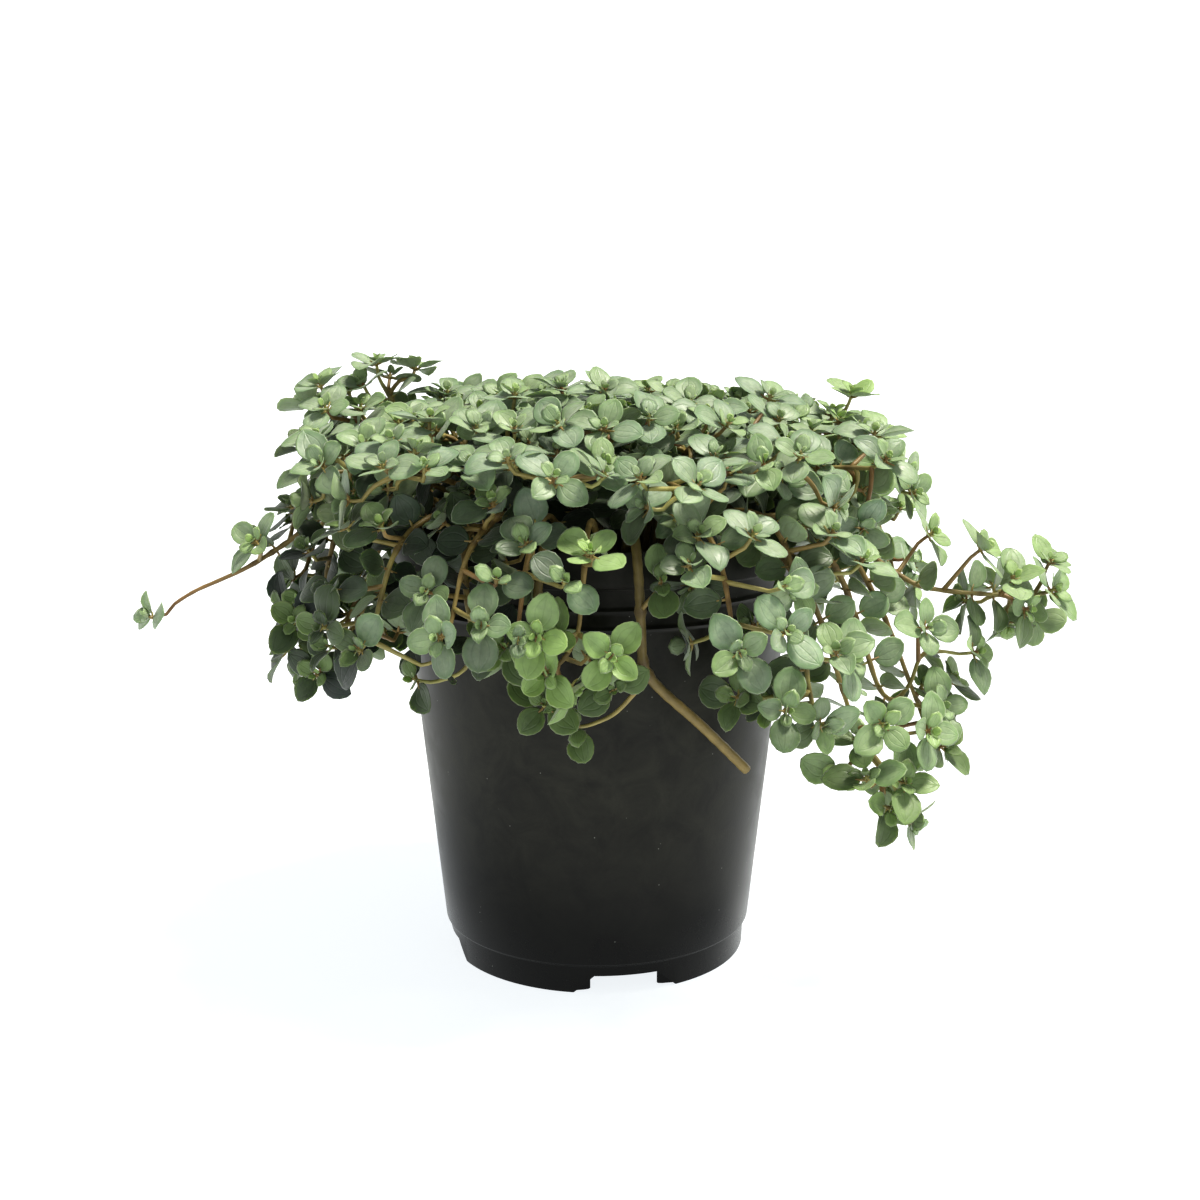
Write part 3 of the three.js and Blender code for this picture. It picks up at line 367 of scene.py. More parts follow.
def rimPoints(leaf):
    across = cross(leaf["face"], leaf["along"])
    angles = [2 * math.pi * k / rimSteps for k in range(rimSteps)]
    return np.array([leaf["centre"] + leaf["along"] * (leaf["reach"] * math.cos(a))
                     + across * (leaf["reach"] * math.sin(a)) for a in angles])


def cutsInto(rim, centre, otherCentre, otherFace, otherReach, room):
    # arrays: whether the outline of each leaf meets the blade of each other
    heights = np.einsum("nkc,nc->nk", rim - otherCentre[:, None], otherFace)
    squared = np.sum((rim - otherCentre[:, None]) ** 2, axis=2)
    outs = np.sqrt(np.maximum(squared - heights ** 2, 0))
    reach = (otherReach + room["sideways"])[:, None]
    touching = (np.abs(heights) < room["edge"]) & (outs < reach)
    nextHeights, nextRim = np.roll(heights, -1, axis=1), np.roll(rim, -1, axis=1)
    through = heights * nextHeights < 0
    share = heights / np.where(through, heights - nextHeights, 1)
    meet = rim + (nextRim - rim) * share[:, :, None]
    near = np.sqrt(np.sum((meet - otherCentre[:, None]) ** 2, axis=2)) < reach
    height = np.abs(np.einsum("nc,nc->n", centre - otherCentre, otherFace))
    apart = np.sqrt(np.sum((centre - otherCentre) ** 2, axis=1))
    over = (height < room["middle"]) & (apart < otherReach)
    return bool(np.any(touching) or np.any(through & near) or np.any(over))


def inPot(point):
    out = math.hypot(point[0], point[1])
    if point[2] < mix["top"] + clearance["aboveMix"] and out < pot["collarRadius"] - clearance["besideRim"]:
        return True
    lowest = pot["collarBottom"] - clearance["aboveMix"]
    atCollar = lowest < point[2] < pot["height"] + clearance["besideRim"]
    innermost = pot["collarRadius"] - pot["wall"] - clearance["insideCollar"]
    return atCollar and innermost < out < pot["rimRadius"] + clearance["besideRim"]


def leafIsClear(leaf, room=clearance):
    rim = rimPoints(leaf)
    if any(inPot(p) for p in rim):
        return False
    n = placed.discs
    out = placed.centre[:n] - leaf["centre"]
    near = leaf["reach"] + placed.reach[:n] + 1
    close = np.nonzero((np.sum(out ** 2, axis=1) <= near ** 2) & (placed.cross[:n] != leaf["cross"]))[0]
    if len(close):
        count = len(close)
        rims, centres = np.repeat(rim[None], count, axis=0), np.repeat(leaf["centre"][None], count, axis=0)
        faces, reaches = np.repeat(leaf["face"][None], count, axis=0), np.full(count, leaf["reach"])
        if cutsInto(rims, centres, placed.centre[close], placed.face[close], placed.reach[close], room):
            return False
        if cutsInto(placed.rim[close], placed.centre[close], centres, faces, reaches, room):
            return False
    m = placed.rods
    out = placed.point[:m] - leaf["centre"]
    fromKnot = np.sqrt(np.sum((placed.point[:m] - leaf["knot"]) ** 2, axis=1))
    own = (placed.shoot[:m] == leaf["shoot"]) & (fromKnot < room["ownStem"])
    height = np.abs(out @ leaf["face"])
    reach = leaf["reach"] + placed.radius[:m] + room["sideways"]
    blocked = (height < placed.radius[:m] + room["stem"]) & (np.sqrt(np.sum(out ** 2, axis=1)) < reach)
    return not np.any(blocked & ~own)


def stemIsClear(points, radius, shoot, room=clearance):
    if any(p[2] > stem["mouth"] and inPot(p) for p in points):
        return False
    others = placed.shoot[:placed.rods] != shoot["id"]
    point, rodRadius = placed.point[:placed.rods][others], placed.radius[:placed.rods][others]
    for p in points:
        if np.any(np.sqrt(np.sum((point - p) ** 2, axis=1)) <= rodRadius + radius + room["rod"]):
            return False
    return True


def branchMissesLeaves(points, radius, room=clearance):
    centre, face, reach = (a[:placed.discs] for a in (placed.centre, placed.face, placed.reach))
    for p in points:
        out = p - centre
        height = np.abs(np.einsum("nc,nc->n", out, face))
        apart = np.sqrt(np.sum(out ** 2, axis=1))
        if np.any((height <= radius + room["stem"]) & (apart <= reach + radius + room["sideways"])):
            return False
    return True


def alongStem(curve):
    count = max(2, math.ceil(curve["length"] / rodStep))
    return [pointAt(curve, curve["length"] * i / count)[0] for i in range(count + 1)]


def makeLeaf(draw, shoot, number, centre, axis, outward, pair):
    # a leaf grows out of a knot, pointing outward, lifted towards the axis
    blade = pair["blade"] + (2 * draw() - 1) * pair["spread"]
    lift = math.radians(pair["lift"] + leafForm["liftSpread"] * (draw() - 0.5))
    along = outward * math.cos(lift) + axis * math.sin(lift)
    face = axis * math.cos(lift) - outward * math.sin(lift)
    return {
        "shoot": shoot["id"], "cross": number, "knot": centre, "outward": outward, "along": along,
        "face": face, "blade": blade, "petiole": pair["petiole"], "reach": blade / 2,
        "width": blade * leafForm["widthShare"], "centre": centre + along * (pair["petiole"] + blade / 2),
    }


def turnedBy(pair, angle):
    return pair[0] * math.cos(angle) + pair[1] * math.sin(angle)


def placeCross(draw, shoot, centre, axis, wanted, room=clearance, least=1):
    # up to four leaves on a knot: the turn that keeps the most leaves is taken
    number = next(crossNumbers)
    sides = crosswise(axis, around(1, shoot["azimuth"], 0), vector(0, 0, 1))
    first = draw() * math.pi
    best = []
    for turn in crossTurns:
        leaves = []
        for i in range(wanted):
            pair = lowerPair if i < 2 else upperPair
            angle = first + turn + math.pi * i + (0 if i < 2 else math.pi / 2)
            leaf = makeLeaf(draw, shoot, number, centre, axis, turnedBy(sides, angle), pair)
            if leafIsClear(leaf, room):
                leaves.append(leaf)
        if len(leaves) > len(best):
            best = leaves
        if len(best) == wanted:
            break
    if len(best) < least:
        return []
    for leaf in best:
        placed.addLeaf(leaf)
    return best


def crossAxis(draw, point, along, tilt=crossLean["chance"], upward=0.0):
    # mostly the way the mound faces, partly the way the stem grows, and a little chance
    chance = vector(draw() - 0.5, draw() - 0.5, draw() - 0.5) * tilt
    axis = unit(facing(point) + along * crossLean["along"] + chance + vector(0, 0, upward))
    short = crossLean["leastForward"] - axis @ along
    return unit(axis + along * max(short, 0))


def placeBranch(draw, shoot, back, points, wanted, room=clearance, least=1, thick=knot["radius"],
                tilt=crossLean["chance"], upward=0.0):
    # a branch runs through its points, then bends up into the knot of its cross
    curve = smoothLine(points, 12)
    axis = crossAxis(draw, points[-1], pointAt(curve, curve["length"])[1], tilt, upward)
    top = points[-1] + axis * knot["rise"]
    line = [*alongStem(curve), top, top + axis * (knot["half"] + knot["bud"] / 2)]
    if not stemIsClear(line, thick, shoot, room):
        return False
    if not branchMissesLeaves(line[2:], thick, room):
        return False
    before = placed.rods
    placed.addStem(line, thick, shoot)
    leaves = placeCross(draw, shoot, top, axis, wanted, room, least)
    if not leaves:
        placed.rods = before
        return False
    shoot["branches"].append({"curve": curve, "axis": axis, "top": top, "back": back, "leaves": leaves})
    return True


def placeSideBranch(draw, shoot, back, hand, wanted):
    point, along = backFromTip(shoot, back)
    up, sideways = crosswise(along, facing(point), around(1, shoot["azimuth"], 0))
    length = sideBranch["length"] + sideBranch["lengthSpread"] * draw()
    for turn, lift, size in sideBranch["tries"]:
        way = unit(along * sideBranch["forward"] + sideways * (sideBranch["sideways"] * hand * turn)
                   + up * lift)
        if placeBranch(draw, shoot, back, [point, point + way * (length * size)], wanted):
            return


def placePair(draw, shoot, back, turn, room=clearance):
    # a pair of leaves on the stem itself
    point, along = backFromTip(shoot, back)
    sides = crosswise(along, facing(point), around(1, shoot["azimuth"], 0))
    number = next(crossNumbers)
    leaves = []
    for i in range(2):
        outward = turnedBy(sides, turn + math.pi * i)
        axis = facing(point) + along * crossLean["along"]
        axis = unit(axis - outward * (axis @ outward))
        leaf = makeLeaf(draw, shoot, number, point, axis, outward, lowerPair)
        if leafIsClear(leaf, room):
            leaves.append(leaf)
    for leaf in leaves:
        placed.addLeaf(leaf)
    if leaves:
        shoot["pairs"].append({"back": back, "leaves": leaves})


def startShoot(number, name, azimuth, route, thick, seed):
    return {"id": number, "name": name, "azimuth": azimuth, "root": route[0], "thick": thick, "seed": seed,
            "curve": smoothLine(route), "row": None, "branches": [], "pairs": [], "tipLeaves": []}


def planShoots():
    shoots = []

    def add(shoot):
        placed.addStem(alongStem(shoot["curve"]), shoot["thick"], shoot)
        shoots.append(shoot)

    def byRule(name, azimuth, rootRadius, reachTo, arc, seed):
        for turn in turnsTried:
            reach, height = reachTo(azimuth + turn)
            root = around(rootRadius, azimuth + turn, stem["mouth"])
            tip = around(reach, azimuth + turn, height)
            way = []
            for share, z in arc:
                point = root + (tip - root) * share
                way.append(vector(point[0], point[1], z))
            shoot = startShoot(len(shoots), name, azimuth + turn, [root, *way, tip], stem["baseRadius"], seed)
            if stemIsClear(alongStem(shoot["curve"]), stem["baseRadius"], shoot):
                add(shoot)
                return

    for i, row in enumerate(trailing):
        rootRadius, azimuth = row["root"]
        route = [around(rootRadius, azimuth, stem["mouth"]), *(vector(*p) for p in row["route"])]
        thick = row.get("thick", stem["baseRadius"])
        shoot = startShoot(i, row["name"], azimuth, route, thick, seeds["trailing"] + i)
        shoot["row"] = row
        add(shoot)
    for i, (azimuth, reach, height) in enumerate(skirt["tips"]):
        byRule(f"skirt_shoot_{i + 1:02d}", azimuth, skirt["root"], lambda a, tip=(reach, height): tip,
               skirt["arc"], seeds["skirt"] + i)
    number = 0
    for name, first, count, start, rootRadius, ringReach, arc in rings:
        for i in range(count):
            draw = seeded(seeds["ringPlace"] + number)
            azimuth = start + 360 * i / count + scatter["azimuth"] * (draw() - 0.5)
            shift = scatter["reach"] * (draw() - 0.5)
            lift = scatter["height"] * (draw() - 0.5)

            def reachTo(direction):
                reach = ringReach + (shift if count > 1 else 0)
                tip = around(reach, direction, 0)
                return reach, moundHeight(tip[0], tip[1]) - 1 + lift

            byRule(f"{name}_{first + i:02d}", azimuth, rootRadius, reachTo, arc, seeds["ringLeaves"] + number)
            number += 1
    return shoots


def leafShoots(shoots):
    for shoot in shoots:
        draw = seeded(shoot["seed"])
        point, along = pointAt(shoot["curve"], shoot["curve"]["length"])
        shoot["axis"] = crossAxis(draw, point, along)
        shoot["top"] = point + shoot["axis"] * knot["rise"]
        row = shoot["row"]
        wanted = row["tipLeaves"] if row else 4
        if wanted:
            shoot["tipLeaves"] = placeCross(draw, shoot, shoot["top"], shoot["axis"], wanted)
        if row:
            for back, offset, leaves, *via in row["branches"]:
                start = backFromTip(shoot, back)[0]
                points = [start, *(start + vector(*way) for way in [*via, offset])]
                placeBranch(draw, shoot, back, points, leaves)
            for i, back in enumerate(row["pairs"]):
                placePair(draw, shoot, back, math.pi / 2 if i % 2 else 0.3)
        else:
            hand = 1 if draw() < 0.5 else -1
            placeSideBranch(draw, shoot, sideBranch["first"] + sideBranch["backSpread"] * draw(), hand, 4)
            placeSideBranch(draw, shoot, sideBranch["second"] + sideBranch["backSpread"] * draw(), -hand, 2)


shoots = planShoots()
leafShoots(shoots)
print("planned:", len(shoots), "shoots,", placed.discs, "leaves of the solids")

# Further growth: the leaves and twigs that are too fine and too many for the solids.
growth = {
    "seed": 900,
    "room": {"sideways": 0.1, "edge": 0.35, "middle": 0.55, "stem": 0.15, "rod": 0.1, "ownStem": 3.2},
    "pairStep": 6.2,  # millimetres of stem from one pair of leaves to the next
    "pairsFromTip": 4.5, "pairsFromRoot": 12, "pairRoom": 2.4,
    "overRim": (116, 50),  # a pair lower and nearer the middle than this would be in the pot's mouth
    "twigs": 3000,  # places that are tried for a twig
    "crowded": 3.9,  # millimetres to the nearest leaf under which a place isn't tried
    "twigReach": (4.5, 17),
    "twigThick": 0.5, "twigBow": 0.8, "stationStep": 2, "insideBox": 7,
    "layers": (1.0, 0.93, 0.84, 0.74),  # shells of the mound that the twigs fill
    "halfWidth": (82, 84), "halfDepth": (80, 80),  # of the outer shell: left and right, front and back
    # how far the shells swell and sink, how many swells fill half a turn, and the height of one
    "lobes": 0.13, "lobeSpan": 1.9, "lobeHeight": 25,
    "onSkirt": 0.15,  # share of the twigs that hang below the mound's widest place
    "skirtDepth": 16, "skirtInward": 0.22,
    "tilt": 1.0, "upward": 0.45,  # how far a twig's cross leans at random, and towards the sky
    "besideStems": 0.13, "besideReach": (4.5, 10),  # share of the twigs that fill out the shoots named below
}
# the shoots with more twigs, and how many millimetres from the tip they have them
leafyShoots = {"tall_shoot_left": 30, "tall_shoot_far_left": 26, "trailing_left_low": 16,
               "trailing_right_level": 12, "trailing_right_outer": 7, "trailing_right_low": 6,
               "trailing_front_cluster": 14}
bareShoots = ("trailing_front_knot", "trailing_front_cut", "trailing_left")
# kept free of further leaves, as low and high corners: the gap over the beads, and the wall's bare front
keepOpen = [((-2, -100, 60), (19, -45, 114)), ((-12, -100, 97), (11, -50, 126)),
            ((-60, -100, 0), (17, 0, 86)), ((17, -100, 0), (60, 0, 74)),
            ((10, -100, 74), (32, -60, 92)), ((-62, -100, 60), (-45, -40, 90)),
            ((-130, -100, 0), (-87, 100, 112)), ((-130, -100, 0), (-40, 0, 80))]


def inside(point, boxes):
    return any(all(low[i] <= point[i] <= high[i] for i in range(3)) for low, high in boxes)


def boxHolds(point, margin):
    low, high = cadBox
    return all(low[i] / mm + margin <= point[i] <= high[i] / mm - margin for i in range(3))


def addPairs(shoots):
    # pairs of leaves down the bare stretches of every stem, as far as the pot's rim
    for shoot in shoots:
        if shoot["name"] in bareShoots:
            continue
        draw = seeded(growth["seed"] + shoot["id"])
        taken = [p["back"] for p in shoot["pairs"]] + [b["back"] for b in shoot["branches"]]
        back, turn = growth["pairsFromTip"], 0.3
        while back < shoot["curve"]["length"] - growth["pairsFromRoot"]:
            back += growth["pairStep"] * (0.8 + 0.4 * draw())
            turn += math.pi / 2
            point = backFromTip(shoot, back)[0]
            low = point[2] < growth["overRim"][0] and math.hypot(point[0], point[1]) < growth["overRim"][1]
            if low or inside(point, keepOpen) or any(abs(back - t) < growth["pairRoom"] for t in taken):
                continue
            placePair(draw, shoot, back, turn, growth["room"])


def twigTarget(draw, leafy):
    # a place in one of the mound's shells, on the skirt that hangs below them, or beside a leafy shoot
    if draw() < growth["besideStems"]:
        start = leafy[int(draw() * len(leafy))]
        way = unit(vector(draw() - 0.5, draw() - 0.6, draw() - 0.4))
        nearest, furthest = growth["besideReach"]
        return start + way * (nearest + draw() * (furthest - nearest))
    azimuth, level = math.radians(360 * draw()), draw()
    layer = growth["layers"][int(draw() * len(growth["layers"]))]
    if level > growth["onSkirt"]:
        out = math.sqrt((level - growth["onSkirt"]) / (1 - growth["onSkirt"]))
        dome = max(1 - out ** mound["fullness"], 0) ** (1 / mound["fullness"])
        height = mound["base"] + mound["rise"] * layer * dome
    else:
        down = level / growth["onSkirt"]
        out = 1 - growth["skirtInward"] * down
        height = mound["base"] - growth["skirtDepth"] * down
    span = growth["lobeSpan"]
    place = (span * math.cos(azimuth), span * math.sin(azimuth), height / growth["lobeHeight"])
    swell = noise.noise(Vector(place)) * 2
    layer *= 1 + growth["lobes"] * swell
    x = growth["halfWidth"][math.cos(azimuth) > 0] * out * layer * math.cos(azimuth)
    y = growth["halfDepth"][math.sin(azimuth) > 0] * out * layer * math.sin(azimuth)
    return vector(x, y, mound["base"] + (height - mound["base"]) * (1 + 0.5 * growth["lobes"] * swell))


def addTwigs(shoots):
    # twigs with a cross of leaves each, wherever the plant's surface still has room
    draw = seeded(growth["seed"] - 1)
    stations = []
    for shoot in shoots:
        count = int(shoot["curve"]["length"] / growth["stationStep"])
        for k in range(3, count):
            back = shoot["curve"]["length"] * (1 - k / count)
            point = backFromTip(shoot, back)[0]
            if point[2] > pot["height"] + 2 or math.hypot(point[0], point[1]) > pot["rimRadius"] + 2:
                stations.append((shoot, back, point))
    leafy = [p for shoot, back, p in stations if back < leafyShoots.get(shoot["name"], 0)]
    stations = [s for s in stations if not s[0]["row"] or s[1] < leafyShoots.get(s[0]["name"], 0)]
    points = np.array([p for _, _, p in stations])
    shortest, longest = growth["twigReach"]
    for _ in range(growth["twigs"]):
        target = twigTarget(draw, leafy)
        if inside(target, keepOpen) or inPot(target) or not boxHolds(target, growth["insideBox"]):
            continue
        toLeaves = np.sum((placed.centre[:placed.discs] - target) ** 2, axis=1)
        if toLeaves.min() < growth["crowded"] ** 2:
            continue
        apart = np.sqrt(np.sum((points - target) ** 2, axis=1))
        apart[apart < shortest] = 1e9
        nearest = int(np.argmin(apart))
        if apart[nearest] > longest:
            continue
        shoot, back, start = stations[nearest]
        along, bow = backFromTip(shoot, back)[1], growth["twigBow"]
        middle = start + (target - start) * 0.5 + along * bow + vector(0, 0, bow)
        placeBranch(draw, shoot, back, [start, middle, target], 4, growth["room"], 3, growth["twigThick"],
                    growth["tilt"], growth["upward"])


addPairs(shoots)
print("with further pairs:", placed.discs, "leaves")
addTwigs(shoots)
print("with further twigs:", placed.discs, "leaves,", sum(len(s["branches"]) for s in shoots), "branches")

# Floor and light: a lit table under a soft lamp from above and from the right, with pale walls round it.
studio = {
    "floor": "#9fa2a3", "floorHalf": 6.0, "floorGlow": 0.76, "glowColour": "#f6fafd",
    "tooth": 1.1,  # millimetres between the acrylic's grains
    "wall": "#ffffff", "wallStrength": 1.12, "ceiling": "#f0f4f4", "ceilingStrength": 0.33,
    "wallTop": 0.19, "ceilingFrom": 0.32,  # heights of a direction, 1 being straight up
    "lampStrength": 4.7, "lampColour": "#fff9ef", "lampAngle": 16, "lampFrom": (0.42, -0.02, 1.0),
}

# Blades, stalks and stems, in millimetres.
blade = {
    "sectors": 14, "ringsOut": (0.42, 0.72, 0.91, 1.0),
    "smallSectors": 9, "smallRings": (0.6, 1.0),
    "thick": 0.42,  # at the middle; the edge is drawn to a line
    "cup": (-0.02, 0.09),  # how far the sides rise, as a share of the length
    "arch": (0.0, 0.12),  # how far the tip bends down
    "point": (0.0, 0.28),  # from round to a blunt tip
    "egg": (-0.1, 0.14),  # wider towards the stalk, or towards the tip
    "roll": 17, "nod": (-7, 10),  # degrees about the midrib, and up or down at the stalk
    "heel": (0.05, 0.14),  # how far the stalk's end is drawn in, along the blade and across it
    "wave": 0.022, "crease": 0.018, "creaseHalf": 0.22, "fold": 0.05,
    "stalkRadius": 0.3,
    # the shade painted into the leaves' colour, from the leaves between each leaf and the lamp:
    "shadedWithin": 7,  # millimetres beside the way to the light
    "shadedBy": (1, 8),  # leaves on that way that just shade a leaf, and that shade it for good
    "clearAhead": 3,  # millimetres in front of a leaf in which nothing shades it
    "shadedInside": (1.1, 1.4),  # shade at the mound's middle, and what it loses on the way to its surface
    "small": 6.8,  # a blade of the cross that is shorter than this is one of its younger pair
}
stemForm = {
    "buried": 5,  # millimetres of stem inside the mix
    "cut": 1.7, "sides": 8, "taper": (0.8, 0.42), "knotSwell": 0.3, "knotHalf": 0.9, "ripple": 0.05,
    "twigCut": 1.5, "twigSides": 7, "twigTaper": (0.62, 0.2),
}
seeds.update(growShoot=5000, mix=7001)
innerPair = {"blade": 4.0, "spread": 0.8, "petiole": 0.6, "lift": 34, "rise": 0.6, "turned": 0.0, "age": 0.3}
budPair = {"blade": 2.1, "spread": 0.4, "petiole": 0.3, "lift": 60, "rise": 1.1, "turned": 0.5, "age": 0.55}
# how unfolded the leaves are at most: the longer and the shorter pair of a cross, and a pair on a stem
ages = {"tip": (0.16, 0.4), "twig": (0.14, 0.36), "stem": 0.12}
# how much fresher than the rest a shoot's leaves are, as in the photograph
youthOf = {"trailing_front_cluster": 0.5, "trailing_front_cut": 0.2, "trailing_front_knot": 0.15,
           "trailing_right_high": 0.45, "trailing_left": 0.1, "trailing_right_level": 0.25,
           "trailing_right_arc": 0.2, "trailing_right_outer": 0.2, "trailing_right_low": 0.25,
           "shoulder_shoot_01": 0.3, "skirt_shoot_01": 0.2, "skirt_shoot_13": 0.1}


def bladeTemplate(sectors, ringsOut):
    # a round blade in unit size, whose upper and lower faces share the outermost ring
    place, faces = [], []
    for side in (1, -1):
        place.append((0.0, 0.0, side))
        place += [(r, 2 * math.pi * k / sectors, side) for r in ringsOut[:-1] for k in range(sectors)]
    rim = len(place)
    place += [(1.0, 2 * math.pi * k / sectors, 0) for k in range(sectors)]
    for side, middle in ((1, 0), (-1, rim // 2)):
        loops = [middle + 1 + sectors * j for j in range(len(ringsOut) - 1)] + [rim]
        for k in range(sectors):
            n = (k + 1) % sectors
            made = [(middle, loops[0] + k, loops[0] + n)]
            made += [(a + k, b + k, b + n, a + n) for a, b in zip(loops, loops[1:])]
            faces += [face if side > 0 else face[::-1] for face in made]
    return np.array(place), faces


templates = {
    "large": bladeTemplate(blade["sectors"], blade["ringsOut"]),
    "small": bladeTemplate(blade["smallSectors"], blade["smallRings"]),
}


# nothing that grows leaves the solids' own box: a blade that would is moved in
lowCorner, highCorner = (np.array(corner) / mm + inward for corner, inward in zip(cadBox, (0.05, -0.05)))


class Skin:
    # one piece's vertices and faces, with what its materials read at each vertex
    def __init__(self):
        self.points, self.faces, self.kinds, self.tints, self.places = [], [], [], [], []
        self.count = 0

    def add(self, points, faces, kind=0, tints=None, places=None):
        self.points.append(np.asarray(points, dtype=float))
        self.faces += [tuple(i + self.count for i in f) for f in faces]
        self.kinds += [kind] * len(faces)
        self.tints.append(np.zeros((len(points), 4)) if tints is None else tints)
        self.places.append(np.zeros((len(points), 2)) if places is None else places)
        self.count += len(points)


def between(draw, low, high):
    return low + (high - low) * draw()


def shadeOn(point):
    # how much painted shade a leaf's colour gets: 0 for a leaf in the open, 1 for one well inside the mound
    # or behind as many leaves as shade it for good
    share = math.sqrt((point[0] / mound["halfWidth"]) ** 2 + (point[1] / mound["halfDepth"]) ** 2
                      + (max(point[2] - mound["base"], 0) / mound["rise"]) ** 2)
    away = placed.centre[:placed.discs] - point
    toLight = unit(vector(*studio["lampFrom"]))
    ahead = away @ toLight
    aside = np.linalg.norm(away - np.outer(ahead, toLight), axis=1)
    leaves = np.count_nonzero((aside < blade["shadedWithin"]) & (ahead > blade["clearAhead"]))
    low, high = blade["shadedBy"]
    inmost, lost = blade["shadedInside"]
    shade = min(max((leaves - low) / (high - low), inmost - share * lost, 0), 1)
    return shade * shade * (3 - 2 * shade)


def addBlade(skin, draw, leaf, age, size="large"):
    # age runs from 0, grown, to 1, just unfolded
    place, faces = templates[size]
    r, angle, side = place.T
    x, y = r * np.cos(angle), r * np.sin(angle)
    tip, heel = np.maximum(np.cos(angle), 0) ** 6 * r, np.maximum(-np.cos(angle), 0) ** 6 * r
    x = x + between(draw, *blade["point"]) * tip - blade["heel"][0] * heel
    y = y * (1 + between(draw, *blade["egg"]) * x - blade["heel"][1] * heel)
    cup = between(draw, *blade["cup"]) * (1 + 0.6 * age)
    arch = between(draw, *blade["arch"]) * (1 - age)
    phase, skew = 2 * math.pi * draw(), 2 * draw() - 1
    height = cup * 2 * y ** 2 - arch * np.maximum(x + 0.2, 0) ** 2
    height += blade["wave"] * np.sin(3 * angle + phase) * r ** 3 + blade["fold"] * skew * x * y
    height -= blade["crease"] * np.exp(-(y / blade["creaseHalf"]) ** 2) * (1 - 0.5 * r)
    height = (height + side * 0.5 * blade["thick"] / lowerPair["blade"] * (1 - r ** 2)) * leaf["blade"]
    roll, nod = (math.radians(a) for a in (blade["roll"] * (2 * draw() - 1), between(draw, *blade["nod"])))
    flat = (cross(leaf["face"], leaf["along"]), leaf["face"])
    across, face = (turnedBy(flat, a) for a in (roll, roll + math.pi / 2))
    along = turnedBy((leaf["along"], face), nod)
    face = cross(along, across)
    centre = leaf["centre"] + (along - leaf["along"]) * leaf["blade"] / 2
    points = (centre + np.outer(x * leaf["blade"] / 2, along)
              + np.outer(y * leaf["width"] / 2, across) + np.outer(height, face))
    points += np.maximum(lowCorner - points.min(axis=0), 0) - np.maximum(points.max(axis=0) - highCorner, 0)
    # tints: age, painted shade, a random number, and 1 on the under side
    tints = np.column_stack([np.full(len(x), value) for value in (age, shadeOn(leaf["centre"]), draw())]
                            + [np.where(side < 0, 1.0, 0.0)])
    skin.add(points, faces, 1, tints, np.column_stack([0.5 + x / 2, 0.5 + y / 2]))
    base = centre - along * leaf["blade"] * 0.36
    bend = leaf["knot"] * 0.45 + base * 0.55 - leaf["face"] * 0.12 * leaf["petiole"]
    thick = blade["stalkRadius"] * math.sqrt(leaf["blade"] / lowerPair["blade"])
    radii = [thick * 1.2, thick, thick * 0.6]
    addTube(skin, [leaf["knot"], bend, base], radii, 5, draw(), [0.75 + 0.25 * age] * 3)


def addTube(skin, line, radii, sides, random, young, knots=None):
    # a round stem along a line with closed ends; young runs from 0, woody, to 1, fresh
    points, tints, places, faces = [], [], [], []
    side = vector(0.31, 0.52, 0.79)
    last = len(line) - 1
    for i, centre in enumerate(line):
        along = unit(line[min(i + 1, last)] - line[max(i - 1, 0)])
        side = unit(side - along * (side @ along))
        other = cross(along, side)
        for k in range(sides):
            points.append(centre + turnedBy((side, other), 2 * math.pi * k / sides) * radii[i])
            tints.append((young[i], knots[i] if knots else 0.0, random, 0.0))
            places.append((i / 4, k / sides))
    for i in range(last):
        for k in range(sides):
            n = (k + 1) % sides
            faces.append((i * sides + k, i * sides + n, (i + 1) * sides + n, (i + 1) * sides + k))
    faces.append(tuple(range(sides))[::-1])
    faces.append(tuple(last * sides + k for k in range(sides)))
    skin.add(points, faces, 0, np.array(tints), np.array(places))


def addRosette(skin, draw, shoot, top, axis, leaves, youth):
    # inside the cross of the plan: a small pair, a pair just unfolding, and the bud
    first = leaves[0]["outward"] if leaves else around(1, shoot["azimuth"], 0)
    sides = crosswise(axis, first, vector(0, 0, 1))
    turn, fresh = 0.15 * (draw() - 0.5), draw()
    for pair in (innerPair, budPair):
        for i in range(2):
            outward = turnedBy(sides, turn + math.pi * (i + pair["turned"]))
            leaf = makeLeaf(draw, shoot, -1, top + axis * pair["rise"], axis, outward, pair)
            addBlade(skin, draw, leaf, min(1, pair["age"] * (0.3 + 1.2 * fresh) + youth), "small")
    line = [top - axis * 0.4, top + axis * 0.4, top + axis * 1.1, top + axis * 1.6]
    addTube(skin, line, [0.5, 0.5, 0.38, 0.12], 6, draw(), [1.0] * 4)


def addCross(skin, draw, shoot, top, axis, leaves, most, youth):
    # a cross of the plan, whose longer pair is older than its shorter one, and what unfolds inside it
    for leaf in leaves:
        age = most[0] if leaf["blade"] > blade["small"] else most[1]
        addBlade(skin, draw, leaf, min(age * draw() + youth, 1))
    addRosette(skin, draw, shoot, top, axis, leaves, youth)


def evenLine(points, step):
    # the smooth line through the points, cut evenly and finely enough to look round
    curve = smoothLine(points, max(8, 6 * len(points)))
    count = max(4, int(curve["length"] / step))
    return [pointAt(curve, curve["length"] * i / count)[0] for i in range(count + 1)]


